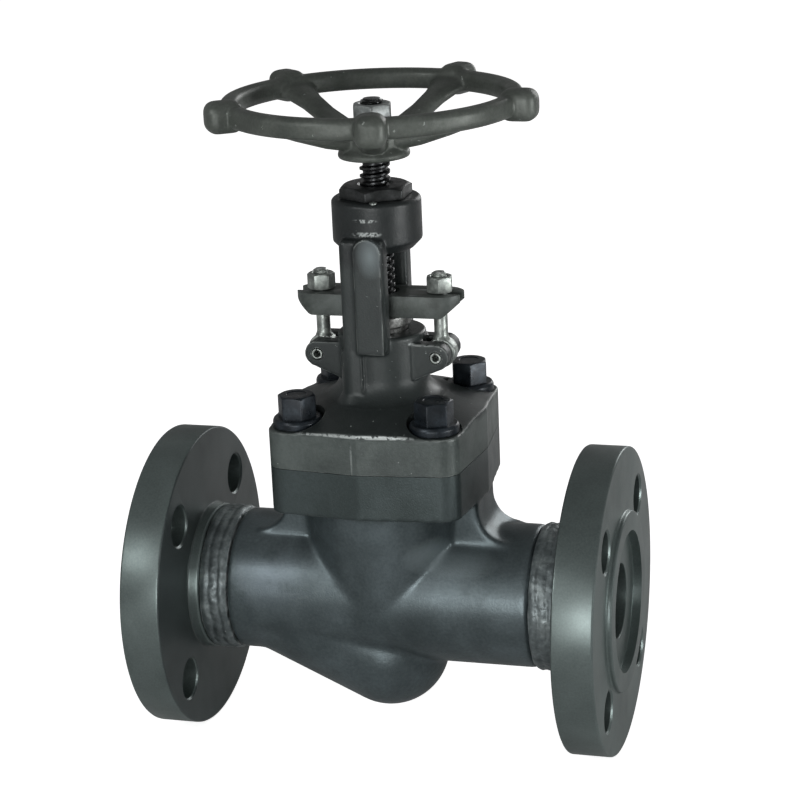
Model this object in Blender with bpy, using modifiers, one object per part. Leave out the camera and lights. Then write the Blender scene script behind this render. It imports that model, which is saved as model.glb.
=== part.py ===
"""Flanged, bolted-bonnet globe valve with an outside screw and yoke, DN 40.

Frame: the origin is where the stem axis crosses the pipe axis. +X runs along
the pipe towards the outlet, +Z runs up the stem, and -Y is the front.
All sizes are in metres. The valve is modelled closed.
"""

from math import cos, hypot, pi, radians, sin, sqrt

import bmesh
import bpy
from mathutils import Vector

MM = 0.001

# Clearances
GAP = 0.3 * MM                    # between pieces that touch or screw together
FIT_CLEARANCE = 0.45 * MM         # round pieces in round holes, on the radius
BOLT_CLEARANCE = 0.6 * MM         # around the bonnet bolts, on the radius
STEM_CLEARANCE = 0.4 * MM         # around the stem, on the radius
GUIDE_CLEARANCE = 1.0 * MM        # beside a swinging eyebolt

# Run of pipe
FACE_TO_FACE = 260 * MM
BORE = 40 * MM
PIPE_OD = 77 * MM
FLANGE_OD = 165 * MM
FLANGE_THICKNESS = 22 * MM
FLANGE_CHAMFER = 1.5 * MM
RAISED_FACE_OD = 97 * MM
RAISED_FACE_HEIGHT = 3 * MM
FACE_RECESS_OD = 76 * MM
FACE_RECESS_DEPTH = 5 * MM
BOLT_CIRCLE = 125 * MM
BOLT_HOLE = 22 * MM
BOLT_COUNT = 4
HUB_STEP = 3 * MM                 # hub over pipe, on the diameter
HUB_LENGTH = 6 * MM
WELD_STEP = 2.6 * MM              # weld crown over pipe, on the diameter
WELD_LENGTH = 15 * MM
WELD_ROOT_STEP = 18 * MM          # root spigot over bore, on the diameter

# Body
BELLY_X = -3 * MM
BELLY_DROP = 35 * MM
BELLY_RADIUS = 32.5 * MM
RAMP_START = 62 * MM
RAMP_START_DROP = 3 * MM
RAMP_START_STEP = 2 * MM          # ramp radius inside that of the pipe
CHEST_TOP_OD = 94 * MM
CHEST_BOTTOM_OD = 77 * MM
CHEST_BOTTOM_DROP = 14 * MM
SADDLE_FILLET = 16 * MM
SADDLE_WIDTH = 38 * MM
JOINT_HEIGHT = 82.5 * MM          # parting plane of body and bonnet
BODY_PLATE = 25 * MM
BONNET_PLATE = 20 * MM
PLATE_WIDTH = 103 * MM
PLATE_BULGE = 4 * MM
PLATE_CORNER = 11 * MM

# Flow passages and seat
PASSAGE = 34 * MM
PASSAGE_START = 86 * MM
INLET_DROP = 40 * MM
OUTLET_RISE = 31 * MM
CHEST_BORE = 54 * MM
SEAT_HEIGHT = 4 * MM
SEAT_RING_OD = 43.4 * MM
SEAT_RING_LENGTH = 9.7 * MM
SEAT_BORE = 30 * MM
SEAT_FACE = 4 * MM
GASKET_OD = 76 * MM
GASKET_BORE = 60 * MM
GASKET_THICKNESS = 2.5 * MM
SPIGOT_LENGTH = 2 * MM

# Bonnet neck, yoke and stuffing box
DOME_RISE = 11.5 * MM
DOME_FOOT_RADIUS = 62 * MM
NECK_OD = 46.6 * MM
NECK_FILLET = 10 * MM
NECK_HEIGHT = 43.5 * MM           # above the flat of the bonnet plate
BUTTRESS_RADIUS = 7.2 * MM
BUTTRESS_X = -9.5 * MM
BUTTRESS_SINK = 3.7 * MM          # its axis inside the face of the neck
BUTTRESS_TOP_DROP = 14 * MM       # its top below that of the neck
ARM_WIDTH = 24 * MM
ARM_OFFSET = -2 * MM
ARM_THICKNESS = 10 * MM
ARM_EDGE = 2.5 * MM
RIB_WIDTH = 13.5 * MM
RIB_OFFSET = 1.6 * MM
RIB_PROUD = 2.2 * MM
RIB_CORNER = 5 * MM
RIB_TOP_BELOW_HEAD_TOP = 17 * MM
ARM_FOOT = 8 * MM                 # arms start below the top of the neck
RIB_FOOT = 4 * MM
YOKE_WINDOW = 44 * MM             # clear height between neck and yoke head
YOKE_HEAD_OD = 47 * MM
YOKE_HEAD_HEIGHT = 27.5 * MM
YOKE_HEAD_CHAMFER = 5 * MM
STUFFING_BORE = 28 * MM
PACKING_COUNT = 5
PACKING_HEIGHT = 6 * MM
FOLLOWER_ENTRY = 6.2 * MM         # how far the follower reaches into the box
BUSH_OD = 32 * MM
BUSH_LENGTH = 17 * MM

# Bonnet bolts
BONNET_BOLT_SPACING = 74 * MM
BONNET_BOLT = 12 * MM
BONNET_BOLT_FLATS = 18 * MM
BONNET_BOLT_HEAD = 12 * MM
BONNET_BOLT_COLLAR_OD = 26 * MM
BONNET_BOLT_COLLAR = 4.7 * MM
BONNET_BOLT_ENGAGEMENT = 19 * MM
SPOT_FACE_OD = 29 * MM

# Gland
FOLLOWER_LIFT = 3 * MM            # take-up left between follower and box
FOLLOWER_OD = 31 * MM
FOLLOWER_FLANGE = 6 * MM
GLAND_LENGTH = 90.5 * MM
GLAND_WIDTH = 24 * MM
GLAND_THICKNESS = 11.5 * MM
GLAND_TIP = 3.4 * MM
GLAND_UNDERCUT = 9.5 * MM
EYEBOLT_SPACING = 64.6 * MM
EYEBOLT = 8 * MM
EYE_OD = 16 * MM
EYE_WIDTH = 8 * MM
PIN = 6 * MM
PIN_DROP = 11.5 * MM              # pin axis below the top of the box
LUG_RADIUS = 7 * MM
LUG_THICKNESS = 8.5 * MM
LUG_FOOT = 9 * MM
GLAND_NUT_FLATS = 13 * MM
GLAND_NUT_HEIGHT = 8.5 * MM
EYEBOLT_PROUD = 2.2 * MM

# Stem, disc and yoke nut
STEM = 16 * MM
STEM_NECK = 14 * MM
STEM_BUTTON = 18 * MM
STEM_BUTTON_HEIGHT = 5 * MM
STEM_COLLAR = 26 * MM
STEM_COLLAR_HEIGHT = 5 * MM
LIFT = 12 * MM
DISC_OD = 40 * MM
DISC_HEIGHT = 21 * MM
DISC_FLOOR = 6 * MM
DISC_POCKET = 26 * MM
DISC_NUT_FLATS = 28 * MM
DISC_NUT_HEAD = 5 * MM
YOKE_NUT_BODY = 30 * MM
YOKE_NUT_FLATS = 34 * MM
YOKE_NUT_HEX = 6.2 * MM
YOKE_NUT_LEDGE = 2 * MM
GRUB_SCREW = 4 * MM
GRUB_SCREW_ANGLE = radians(12)     # from the front, towards the outlet
GRUB_SCREW_LENGTH = 8 * MM
STEM_SQUARE = 11 * MM
STEM_END = 12 * MM

# Handwheel
HUB_CLEARANCE = 14 * MM           # between yoke nut and hub when closed
WHEEL_HUB_OD = 37.6 * MM
WHEEL_HUB_COLLAR = 4 * MM
WHEEL_HUB_TOP_OD = 31 * MM
WHEEL_HUB_HEIGHT = 14.5 * MM
RIM_OD = 156 * MM
RIM_WIDTH = 9.4 * MM
RIM_HEIGHT = 11 * MM
RIM_DISH = 28.2 * MM              # rim centre above the underside of the hub
KNOB_COUNT = 5
KNOB_ANGLE = radians(-74)
KNOB_REACH = 88 * MM
KNOB_WIDTH = 16 * MM
KNOB_HEIGHT = 16.5 * MM
KNOB_BEVEL = 5 * MM
SPOKE_WIDTH = 12 * MM
SPOKE_THICKNESS = 9 * MM
WASHER_OD = 24 * MM
WASHER_THICKNESS = 2 * MM
WHEEL_NUT_FLATS = 19 * MM
WHEEL_NUT_HEIGHT = 11 * MM
STEM_END_PROUD = 2.4 * MM

# Places worked out from the sizes above
OVERCUT = 2 * MM
HUB_OD = PIPE_OD + HUB_STEP
WELD_OD = PIPE_OD + WELD_STEP
WELD_ROOT_OD = BORE + WELD_ROOT_STEP
RAMP_START_RADIUS = PIPE_OD / 2 - RAMP_START_STEP
FLANGE_FACE_X = FACE_TO_FACE / 2 - RAISED_FACE_HEIGHT
FLANGE_BACK_X = FLANGE_FACE_X - FLANGE_THICKNESS
HUB_END_X = FLANGE_BACK_X - HUB_LENGTH
WELD_END_X = HUB_END_X - GAP - WELD_LENGTH
BODY_END_X = WELD_END_X - GAP
BODY_TOP = JOINT_HEIGHT - GAP / 2
BONNET_BASE = JOINT_HEIGHT + GAP / 2
BODY_PLATE_BASE = JOINT_HEIGHT - BODY_PLATE
SPOT_FACE_Z = JOINT_HEIGHT + BONNET_PLATE
DOME_TOP = SPOT_FACE_Z + DOME_RISE
NECK_TOP = SPOT_FACE_Z + NECK_HEIGHT
ARM_INNER_Y = max(FOLLOWER_OD, GLAND_WIDTH) / 2 + GUIDE_CLEARANCE
HEAD_BASE = NECK_TOP + YOKE_WINDOW
HEAD_TOP = HEAD_BASE + YOKE_HEAD_HEIGHT
SPIGOT_BASE = BONNET_BASE - SPIGOT_LENGTH
GASKET_BASE = SPIGOT_BASE - GAP - GASKET_THICKNESS
RECESS_FLOOR = GASKET_BASE - GAP
PACKING_TOP = NECK_TOP - FOLLOWER_ENTRY - GAP
PACKING_BASE = PACKING_TOP - PACKING_COUNT * PACKING_HEIGHT - (PACKING_COUNT - 1) * GAP
STUFFING_FLOOR = PACKING_BASE - GAP
FOLLOWER_FLANGE_BASE = NECK_TOP + FOLLOWER_LIFT
FOLLOWER_TOP = FOLLOWER_FLANGE_BASE + FOLLOWER_FLANGE
GLAND_BASE = FOLLOWER_TOP + GAP
GLAND_TOP = GLAND_BASE + GLAND_THICKNESS
GLAND_NUT_BASE = GLAND_TOP + GAP
EYEBOLT_TOP = GLAND_NUT_BASE + GLAND_NUT_HEIGHT + EYEBOLT_PROUD
PIN_Z = NECK_TOP - PIN_DROP
EAR_INNER_Y = EYE_WIDTH / 2 + GUIDE_CLEARANCE
EAR_OUTER_Y = EAR_INNER_Y + LUG_THICKNESS
BUSH_TOP = SPIGOT_BASE + BUSH_LENGTH
STEM_BORE = STEM + 2 * STEM_CLEARANCE
BACKSEAT_TIP = SPIGOT_BASE - LIFT - GAP * sqrt(2)   # widest point of the seat cone
COLLAR_CONE = (STEM_COLLAR - STEM) / 2
DISC_BASE = SEAT_HEIGHT - SEAT_FACE
DISC_TOP = DISC_BASE + DISC_HEIGHT
POCKET_FLOOR = DISC_BASE + DISC_FLOOR
BUTTON_BASE = POCKET_FLOOR + GAP
BUTTON_TOP = BUTTON_BASE + STEM_BUTTON_HEIGHT
DISC_NUT_BASE = BUTTON_TOP + GAP
DISC_NUT_TOP = DISC_TOP + GAP + DISC_NUT_HEAD
YOKE_NUT_SHOULDER = HEAD_TOP + GAP
YOKE_NUT_TOP = YOKE_NUT_SHOULDER + YOKE_NUT_HEX
HUB_BASE = YOKE_NUT_TOP + HUB_CLEARANCE
STEM_SHOULDER = HUB_BASE - GAP
HUB_TOP = HUB_BASE + WHEEL_HUB_HEIGHT
WASHER_BASE = HUB_TOP + GAP
WHEEL_NUT_BASE = WASHER_BASE + WASHER_THICKNESS + GAP
WHEEL_NUT_TOP = WHEEL_NUT_BASE + WHEEL_NUT_HEIGHT
STEM_TOP = WHEEL_NUT_TOP + STEM_END_PROUD
RIM_Z = HUB_BASE + RIM_DISH

# Colour, roughness and metallic value of each finish
FINISHES = {
    "flange_steel": ((0.17, 0.20, 0.19), 0.38, 0.85),
    "forged_steel": ((0.09, 0.11, 0.12), 0.55, 0.60),
    "weld_bead": ((0.16, 0.18, 0.19), 0.50, 0.80),
    "bonnet_paint": ((0.10, 0.12, 0.115), 0.55, 0.40),
    "bolt_black": ((0.03, 0.04, 0.05), 0.45, 0.60),
    "zinc_plate": ((0.52, 0.56, 0.55), 0.30, 1.00),
    "stem_steel": ((0.20, 0.20, 0.20), 0.30, 1.00),
    "yoke_nut_metal": ((0.05, 0.055, 0.055), 0.45, 0.80),
    "trim_steel": ((0.45, 0.45, 0.44), 0.30, 1.00),
    "graphite": ((0.03, 0.03, 0.03), 0.80, 0.10),
    "wheel_iron": ((0.13, 0.15, 0.14), 0.50, 0.40),
}


# ---------------------------------------------------------------- scene tools

def clear_scene():
    """Remove every object and start with two empty collections."""
    for item in list(bpy.data.objects):
        bpy.data.objects.remove(item, do_unlink=True)
    for name in ("globe_valve", "cutters"):
        group = bpy.data.collections.new(name)
        bpy.context.scene.collection.children.link(group)


def group(name):
    return bpy.data.collections[name]


def finish(item, finish_name):
    """Give a node its own Principled material."""
    colour, roughness, metallic = FINISHES[finish_name]
    mat = bpy.data.materials.new(item.name + "_" + finish_name)
    mat.use_nodes = True
    shader = mat.node_tree.nodes["Principled BSDF"]
    shader.inputs["Base Color"].default_value = (*colour, 1.0)
    shader.inputs["Roughness"].default_value = roughness
    shader.inputs["Metallic"].default_value = metallic
    item.data.materials.clear()
    item.data.materials.append(mat)


def link(name, mesh):
    item = bpy.data.objects.new(name, mesh)
    group("globe_valve").objects.link(item)
    return item


def as_tool(item):
    """Turn an object into a boolean tool that is never built or rendered."""
    group("globe_valve").objects.unlink(item)
    group("cutters").objects.link(item)
    item.hide_render = True
    item.display_type = "WIRE"
    return item


def boolean(target, tool, operation):
    mod = target.modifiers.new(operation.lower(), "BOOLEAN")
    mod.operation = operation
    mod.solver = "EXACT"
    mod.object = as_tool(tool)


def cut(target, *tools):
    for tool in tools:
        boolean(target, tool, "DIFFERENCE")


def join(target, *tools):
    for tool in tools:
        boolean(target, tool, "UNION")


def keep_common(target, tool):
    boolean(target, tool, "INTERSECT")


# ---------------------------------------------------------------- shape tools

def arc(cx, cy, radius, start, end, count):
    """Points of an arc, angles in degrees, both ends included."""
    steps = [start + (end - start) * i / count for i in range(count + 1)]
    return [(cx + radius * cos(radians(a)), cy + radius * sin(radians(a))) for a in steps]


def turned(name, profile, steps=24, along_x=False):
    """Turn a closed (radius, height) profile, listed down its outer side."""
    mesh = bpy.data.meshes.new(name)
    points = [(r, 0.0, z) for r, z in profile]
    edges = [(i, i + 1) for i in range(len(points) - 1)]
    if profile[0][0] > 0 and profile[-1][0] > 0:
        edges.append((len(points) - 1, 0))
    mesh.from_pydata(points, edges, [])
    item = link(name, mesh)
    screw = item.modifiers.new("turn", "SCREW")
    screw.axis = "Z"
    screw.steps = steps
    screw.render_steps = steps
    screw.use_merge_vertices = True
    screw.merge_threshold = 0.00001
    if along_x:
        item.rotation_euler = (0.0, pi / 2, 0.0)
    return item


def rod(name, diameter, base, top, steps=20, along_x=False):
    """A plain round bar between two heights on the axis."""
    r = diameter / 2
    return turned(name, [(0, top), (r, top), (r, base), (0, base)], steps, along_x)


def ring(name, outer, inner, base, top, steps=28, along_x=False):
    """A plain ring between two heights on the axis."""
    profile = [(outer / 2, top), (outer / 2, base), (inner / 2, base), (inner / 2, top)]
    return turned(name, profile, steps, along_x)


def box(name, low, high):
    """A block between two corners."""
    mesh = bpy.data.meshes.new(name)
    bm = bmesh.new()
    bmesh.ops.create_cube(bm, size=1.0)
    for vert in bm.verts:
        for axis in range(3):
            vert.co[axis] = high[axis] if vert.co[axis] > 0 else low[axis]
    bm.to_mesh(mesh)
    bm.free()
    return link(name, mesh)


def outline_plate(name, outline, thickness, upright=False):
    """A flat plate from a 2D outline, centred on its own mid-plane.

    A plate that is upright has its outline in XZ and its thickness along Y.
    """
    curve = bpy.data.curves.new(name + "_outline", "CURVE")
    curve.dimensions = "2D"
    curve.fill_mode = "BOTH"
    curve.extrude = thickness / 2
    spline = curve.splines.new("POLY")
    spline.points.add(len(outline) - 1)
    for point, (x, y) in zip(spline.points, outline):
        point.co = (x, y, 0.0, 1.0)
    spline.use_cyclic_u = True
    drawn = bpy.data.objects.new(name + "_outline", curve)
    group("globe_valve").objects.link(drawn)
    bpy.context.view_layer.update()
    mesh = bpy.data.meshes.new_from_object(drawn.evaluated_get(bpy.context.evaluated_depsgraph_get()))
    bpy.data.objects.remove(drawn, do_unlink=True)
    bm = bmesh.new()
    bm.from_mesh(mesh)
    bmesh.ops.remove_doubles(bm, verts=bm.verts, dist=0.000001)
    bmesh.ops.recalc_face_normals(bm, faces=bm.faces)
    bm.to_mesh(mesh)
    bm.free()
    item = link(name, mesh)
    if upright:
        item.rotation_euler = (pi / 2, 0.0, 0.0)
    return item


def hexagon(name, flats, base, top, chamfer_top=True, chamfer_base=False):
    """A hexagon bar with its corners chamfered at the ends."""
    corners = flats / sqrt(3)
    mesh = bpy.data.meshes.new(name)
    bm = bmesh.new()
    bmesh.ops.create_cone(bm, cap_ends=True, segments=6, radius1=corners, radius2=corners,
                          depth=top - base)
    bmesh.ops.translate(bm, verts=bm.verts, vec=(0, 0, (top + base) / 2))
    bm.to_mesh(mesh)
    bm.free()
    item = link(name, mesh)
    face = flats / 2 * 0.96
    drop = (corners * 1.02 - face) * 0.5
    wide = corners * 1.02
    profile = [(0, top), (face, top), (wide, top - drop)]
    if not chamfer_top:
        profile = [(0, top + OVERCUT), (wide, top + OVERCUT)]
    if chamfer_base:
        profile += [(wide, base + drop), (face, base), (0, base)]
    else:
        profile += [(wide, base - OVERCUT), (0, base - OVERCUT)]
    keep_common(item, turned(name + "_chamfer", profile, 18))
    return item


def move(item, x=0.0, y=0.0, z=0.0):
    item.location = Vector(item.location) + Vector((x, y, z))
    return item


# ---------------------------------------------------------------- pipe run

def flange(name, side):
    """One pipe flange; side is -1 at the inlet and +1 at the outlet."""
    tip = FACE_TO_FACE / 2
    r, c = FLANGE_OD / 2, FLANGE_CHAMFER
    profile = [
        (FACE_RECESS_OD / 2, tip), (RAISED_FACE_OD / 2, tip), (RAISED_FACE_OD / 2, FLANGE_FACE_X),
        (r - c, FLANGE_FACE_X), (r, FLANGE_FACE_X - c), (r, FLANGE_BACK_X + c),
        (r - c, FLANGE_BACK_X), (HUB_OD / 2 + c, FLANGE_BACK_X), (HUB_OD / 2, FLANGE_BACK_X - c),
        (HUB_OD / 2, HUB_END_X + c), (HUB_OD / 2 - c, HUB_END_X), (BORE / 2, HUB_END_X),
        (BORE / 2, tip - FACE_RECESS_DEPTH), (FACE_RECESS_OD / 2, tip - FACE_RECESS_DEPTH),
    ]
    item = turned(name, profile, 44, along_x=True)
    for i in range(BOLT_COUNT):
        angle = pi / BOLT_COUNT + i * 2 * pi / BOLT_COUNT
        hole = rod(f"{name}_hole_{i}", BOLT_HOLE, FLANGE_BACK_X - OVERCUT,
                   FLANGE_FACE_X + OVERCUT, 16, along_x=True)
        move(hole, y=BOLT_CIRCLE / 2 * cos(angle), z=BOLT_CIRCLE / 2 * sin(angle))
        if side < 0:
            hole.rotation_euler = (0.0, -pi / 2, 0.0)
        cut(item, hole)
    if side < 0:
        item.rotation_euler = (0.0, -pi / 2, 0.0)
    finish(item, "flange_steel")


def weld(name, side):
    """The butt weld between a flange hub and the body."""
    start, end = WELD_END_X, WELD_END_X + WELD_LENGTH
    crown = WELD_OD / 2
    toe = crown - 0.8 * MM
    profile = [(WELD_ROOT_OD / 2 + FIT_CLEARANCE, end), (toe, end), (crown, end - WELD_LENGTH / 4),
               (crown, start + WELD_LENGTH / 4), (toe, start), (WELD_ROOT_OD / 2 + FIT_CLEARANCE, start)]
    item = turned(name, profile, 36, along_x=True)
    if side < 0:
        item.rotation_euler = (0.0, -pi / 2, 0.0)
    finish(item, "weld_bead")


# ---------------------------------------------------------------- body

def plate_outline():
    """The square plan of both bonnet joint plates, bulged on every side."""
    half, corner, bulge = PLATE_WIDTH / 2, PLATE_CORNER, PLATE_BULGE
    points = []
    for quarter in range(4):
        turn = quarter * pi / 2
        local = arc(half - corner, half - corner, corner, 0, 90, 6) + [(0.0, half + bulge)]
        for x, y in local:
            points.append((x * cos(turn) - y * sin(turn), x * sin(turn) + y * cos(turn)))
    return points


def plate(name, base, top):
    return move(outline_plate(name, plate_outline(), top - base), z=(base + top) / 2)


def slanted_bar(name, start, end, r_start, r_end, steps=32):
    """A round bar or cone between two points (x, z) in the middle plane."""
    length = hypot(end[0] - start[0], end[1] - start[1])
    item = turned(name, [(0, length), (r_end, length), (r_start, 0), (0, 0)], steps)
    direction = Vector((end[0] - start[0], 0, end[1] - start[1]))
    item.rotation_mode = "QUATERNION"
    item.rotation_quaternion = Vector((0, 0, 1)).rotation_difference(direction)
    return move(item, x=start[0], z=start[1])


def ball(name, radius, x, z, segments=28):
    """A round belly or pocket, turned about its own upright axis."""
    profile = [(0.0, radius)] + arc(0, 0, radius, 82, -82, segments // 2 - 2) + [(0.0, -radius)]
    return move(turned(name, profile, segments), x=x, z=z)


def pipe_arms():
    """The straight run, stepped down at both ends under the welds."""
    r, root = PIPE_OD / 2, WELD_ROOT_OD / 2
    end = HUB_END_X - GAP
    profile = [(0, end), (root, end), (root, BODY_END_X), (r, BODY_END_X), (r, -BODY_END_X),
               (root, -BODY_END_X), (root, -end), (0, -end)]
    return turned("body", profile, 40, along_x=True)


def saddle():
    """The web that fillets the chest into the top of both pipe arms."""
    side = PLATE_WIDTH / 2 + PLATE_BULGE / 2
    foot = PIPE_OD / 2 * 0.93
    right = arc(side + SADDLE_FILLET, foot + SADDLE_FILLET, SADDLE_FILLET, 270, 180, 6)
    low = foot - 12 * MM
    high = BODY_PLATE_BASE + 0.5 * MM
    outline = [(side + SADDLE_FILLET, low)] + right + [(side, high), (-side, high)]
    outline += [(-x, z) for x, z in reversed(right)] + [(-side - SADDLE_FILLET, low)]
    item = outline_plate("body_saddle", outline, SADDLE_WIDTH, upright=True)
    return item


def body():
    item = pipe_arms()
    ramp = slanted_bar("body_ramp", (-RAMP_START, -RAMP_START_DROP), (BELLY_X, -BELLY_DROP),
                       RAMP_START_RADIUS, BELLY_RADIUS)
    belly = ball("body_belly", BELLY_RADIUS + 0.05 * MM, BELLY_X, -BELLY_DROP)
    chest = turned("body_chest", [
        (0, BODY_PLATE_BASE + OVERCUT), (CHEST_TOP_OD / 2, BODY_PLATE_BASE + OVERCUT),
        (CHEST_BOTTOM_OD / 2 + 0.3 * MM, -CHEST_BOTTOM_DROP), (0, -BELLY_DROP)], 40)
    join(item, ramp, belly, chest, saddle(), plate("body_plate", BODY_PLATE_BASE, BODY_TOP))
    cut(item, *flow_passages())
    cut(item, chest_cavity())
    for i, (x, y) in enumerate(bonnet_bolt_places()):
        tapped = rod(f"tapped_hole_{i}", BONNET_BOLT + 2 * BOLT_CLEARANCE,
                     BODY_TOP - BONNET_BOLT_ENGAGEMENT - 2 * GAP, BODY_TOP + OVERCUT, 12)
        cut(item, move(tapped, x=x, y=y))
    finish(item, "forged_steel")


def flow_passages():
    """Straight end bores, then slanted passages under and over the seat."""
    end = HUB_END_X + OVERCUT
    inlet = rod("inlet_bore", BORE, -end, -PASSAGE_START + OVERCUT, 24, along_x=True)
    outlet = rod("outlet_bore", BORE, PASSAGE_START - OVERCUT, end, 24, along_x=True)
    r = PASSAGE / 2
    inlet_slant = slanted_bar("inlet_passage", (-PASSAGE_START, 0), (0, -INLET_DROP), r, r, 20)
    outlet_slant = slanted_bar("outlet_passage", (PASSAGE_START, 0), (0, OUTLET_RISE), r, r, 20)
    pocket = ball("seat_pocket", r + 0.6 * MM, 0, -INLET_DROP, 20)
    throat = rod("seat_throat", PASSAGE - 0.4 * MM, -INLET_DROP, seat_pocket_floor() + OVERCUT, 24)
    return inlet, outlet, inlet_slant, outlet_slant, pocket, throat


def seat_pocket_floor():
    return SEAT_HEIGHT - SEAT_RING_LENGTH - GAP


def chest_cavity():
    """The counterbore for the seat ring, the chest and the gasket recess."""
    seat = SEAT_RING_OD / 2 + FIT_CLEARANCE
    recess = GASKET_OD / 2 + GAP
    profile = [(0, BODY_TOP + OVERCUT), (recess, BODY_TOP + OVERCUT), (recess, RECESS_FLOOR),
               (CHEST_BORE / 2, RECESS_FLOOR), (CHEST_BORE / 2, SEAT_HEIGHT), (seat, SEAT_HEIGHT),
               (seat, seat_pocket_floor()), (0, seat_pocket_floor())]
    return turned("chest_cavity", profile, 28)


def seat_ring():
    base = SEAT_HEIGHT - SEAT_RING_LENGTH
    outer, inner = SEAT_RING_OD / 2, SEAT_BORE / 2
    profile = [(inner + SEAT_FACE, SEAT_HEIGHT), (outer, SEAT_HEIGHT), (outer, base), (inner, base),
               (inner, SEAT_HEIGHT - SEAT_FACE)]
    finish(turned("seat_ring", profile), "trim_steel")


def body_gasket():
    item = ring("body_gasket", GASKET_OD, GASKET_BORE, GASKET_BASE, GASKET_BASE + GASKET_THICKNESS)
    finish(item, "graphite")


# ---------------------------------------------------------------- bonnet

def bonnet_bolt_places():
    half = BONNET_BOLT_SPACING / 2
    return [(-half, -half), (half, -half), (half, half), (-half, half)]


def domed_plate():
    """The bonnet plate, its top sloping up to the neck."""
    item = plate("bonnet", BONNET_BASE, DOME_TOP + OVERCUT)
    wide = PLATE_WIDTH
    dome = turned("bonnet_dome", [
        (0, DOME_TOP), (NECK_OD / 2 + NECK_FILLET / 2, DOME_TOP), (DOME_FOOT_RADIUS, SPOT_FACE_Z),
        (wide, SPOT_FACE_Z), (wide, BONNET_BASE - OVERCUT), (0, BONNET_BASE - OVERCUT)], 40)
    keep_common(item, dome)
    return item


def neck():
    """The neck over the stuffing box, filleted into the dome, and the spigot."""
    r = NECK_OD / 2
    foot = DOME_TOP - 2 * MM
    fillet = arc(r + NECK_FILLET, foot + NECK_FILLET, NECK_FILLET, 180, 262, 5)
    spigot = GASKET_OD / 2 - GAP
    profile = [(0, NECK_TOP), (r - 1 * MM, NECK_TOP), (r, NECK_TOP - 1 * MM)] + fillet
    profile += [(spigot, SPOT_FACE_Z - 4 * MM), (spigot, SPIGOT_BASE), (0, SPIGOT_BASE)]
    return turned("bonnet_neck", profile, 32)


def yoke_arm(name, side):
    """One yoke arm with its outer rib; side is -1 in front and +1 behind."""
    inner, outer = side * ARM_INNER_Y, side * (ARM_INNER_Y + ARM_THICKNESS)
    low, high = min(inner, outer), max(inner, outer)
    arm = box(name, (ARM_OFFSET - ARM_WIDTH / 2, low, NECK_TOP - ARM_FOOT),
              (ARM_OFFSET + ARM_WIDTH / 2, high, HEAD_TOP - RIB_TOP_BELOW_HEAD_TOP - 1 * MM))
    bevel = arm.modifiers.new("soft_edges", "BEVEL")
    bevel.width = ARM_EDGE
    bevel.segments = 2
    return arm


def yoke_rib(name, side):
    """The proud rib down the outside of a yoke arm, rounded at its top."""
    half = RIB_WIDTH / 2
    top = HEAD_TOP - RIB_TOP_BELOW_HEAD_TOP
    base = NECK_TOP - RIB_FOOT
    corner = RIB_CORNER
    outline = [(RIB_OFFSET - half, base), (RIB_OFFSET + half, base)]
    outline += arc(RIB_OFFSET + half - corner, top - corner, corner, 0, 90, 4)
    outline += arc(RIB_OFFSET - half + corner, top - corner, corner, 90, 180, 4)
    depth = ARM_THICKNESS / 2 + RIB_PROUD
    item = outline_plate(name, outline, depth, upright=True)
    return move(item, y=side * (ARM_INNER_Y + ARM_THICKNESS / 2 + depth / 2))


def yoke_head():
    """The round head that carries the yoke nut, chamfered underneath."""
    r, c = YOKE_HEAD_OD / 2, YOKE_HEAD_CHAMFER
    profile = [(0, HEAD_TOP), (r - 1.5 * MM, HEAD_TOP), (r, HEAD_TOP - 1.5 * MM),
               (r, HEAD_BASE + c), (r - c, HEAD_BASE), (0, HEAD_BASE)]
    return turned("yoke_head", profile, 32)


def lug_ear(name, side, y_side):
    """One ear of a clevis lug; side picks left or right, y_side front or back."""
    pin_x = EYEBOLT_SPACING / 2
    root_x = 12 * MM
    outline = [(root_x, PIN_Z - LUG_RADIUS - LUG_FOOT)]
    outline += arc(pin_x, PIN_Z, LUG_RADIUS, -70, 95, 8)
    outline += [(root_x, PIN_Z + LUG_RADIUS)]
    if side < 0:
        outline = [(-x, z) for x, z in reversed(outline)]
    item = outline_plate(name, outline, LUG_THICKNESS, upright=True)
    return move(item, y=y_side * (EAR_INNER_Y + LUG_THICKNESS / 2))


def buttress():
    """The upright half-round swelling on the front of the neck."""
    item = rod("bonnet_buttress", 2 * BUTTRESS_RADIUS, SPOT_FACE_Z, NECK_TOP - BUTTRESS_TOP_DROP, 16)
    return move(item, x=BUTTRESS_X, y=BUTTRESS_SINK - NECK_OD / 2)


def bonnet():
    item = domed_plate()
    join(item, neck(), yoke_head(), buttress())
    for side, word in ((-1, "front"), (1, "back")):
        join(item, yoke_arm(f"yoke_arm_{word}", side), yoke_rib(f"yoke_rib_{word}", side))
    for side, word in ((-1, "left"), (1, "right")):
        for y_side, place in ((-1, "front"), (1, "back")):
            join(item, lug_ear(f"lug_{word}_{place}", side, y_side))
    cut(item, bonnet_bore(), yoke_head_bore(), grub_screw_hole())
    for side in (-1, 1):
        reach = EAR_OUTER_Y + OVERCUT
        hole = rod(f"pin_hole_{side}", PIN + 2 * FIT_CLEARANCE, -reach, reach, 12)
        hole.rotation_euler = (pi / 2, 0.0, 0.0)
        cut(item, move(hole, x=side * EYEBOLT_SPACING / 2, z=PIN_Z))
    for i, (x, y) in enumerate(bonnet_bolt_places()):
        hole = rod(f"bolt_hole_{i}", BONNET_BOLT + 2 * BOLT_CLEARANCE, BONNET_BASE - OVERCUT,
                   DOME_TOP + OVERCUT, 12)
        face = rod(f"spot_face_{i}", SPOT_FACE_OD, SPOT_FACE_Z, DOME_TOP + BONNET_BOLT_HEAD, 20)
        cut(item, move(hole, x=x, y=y), move(face, x=x, y=y))
    finish(item, "bonnet_paint")


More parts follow.
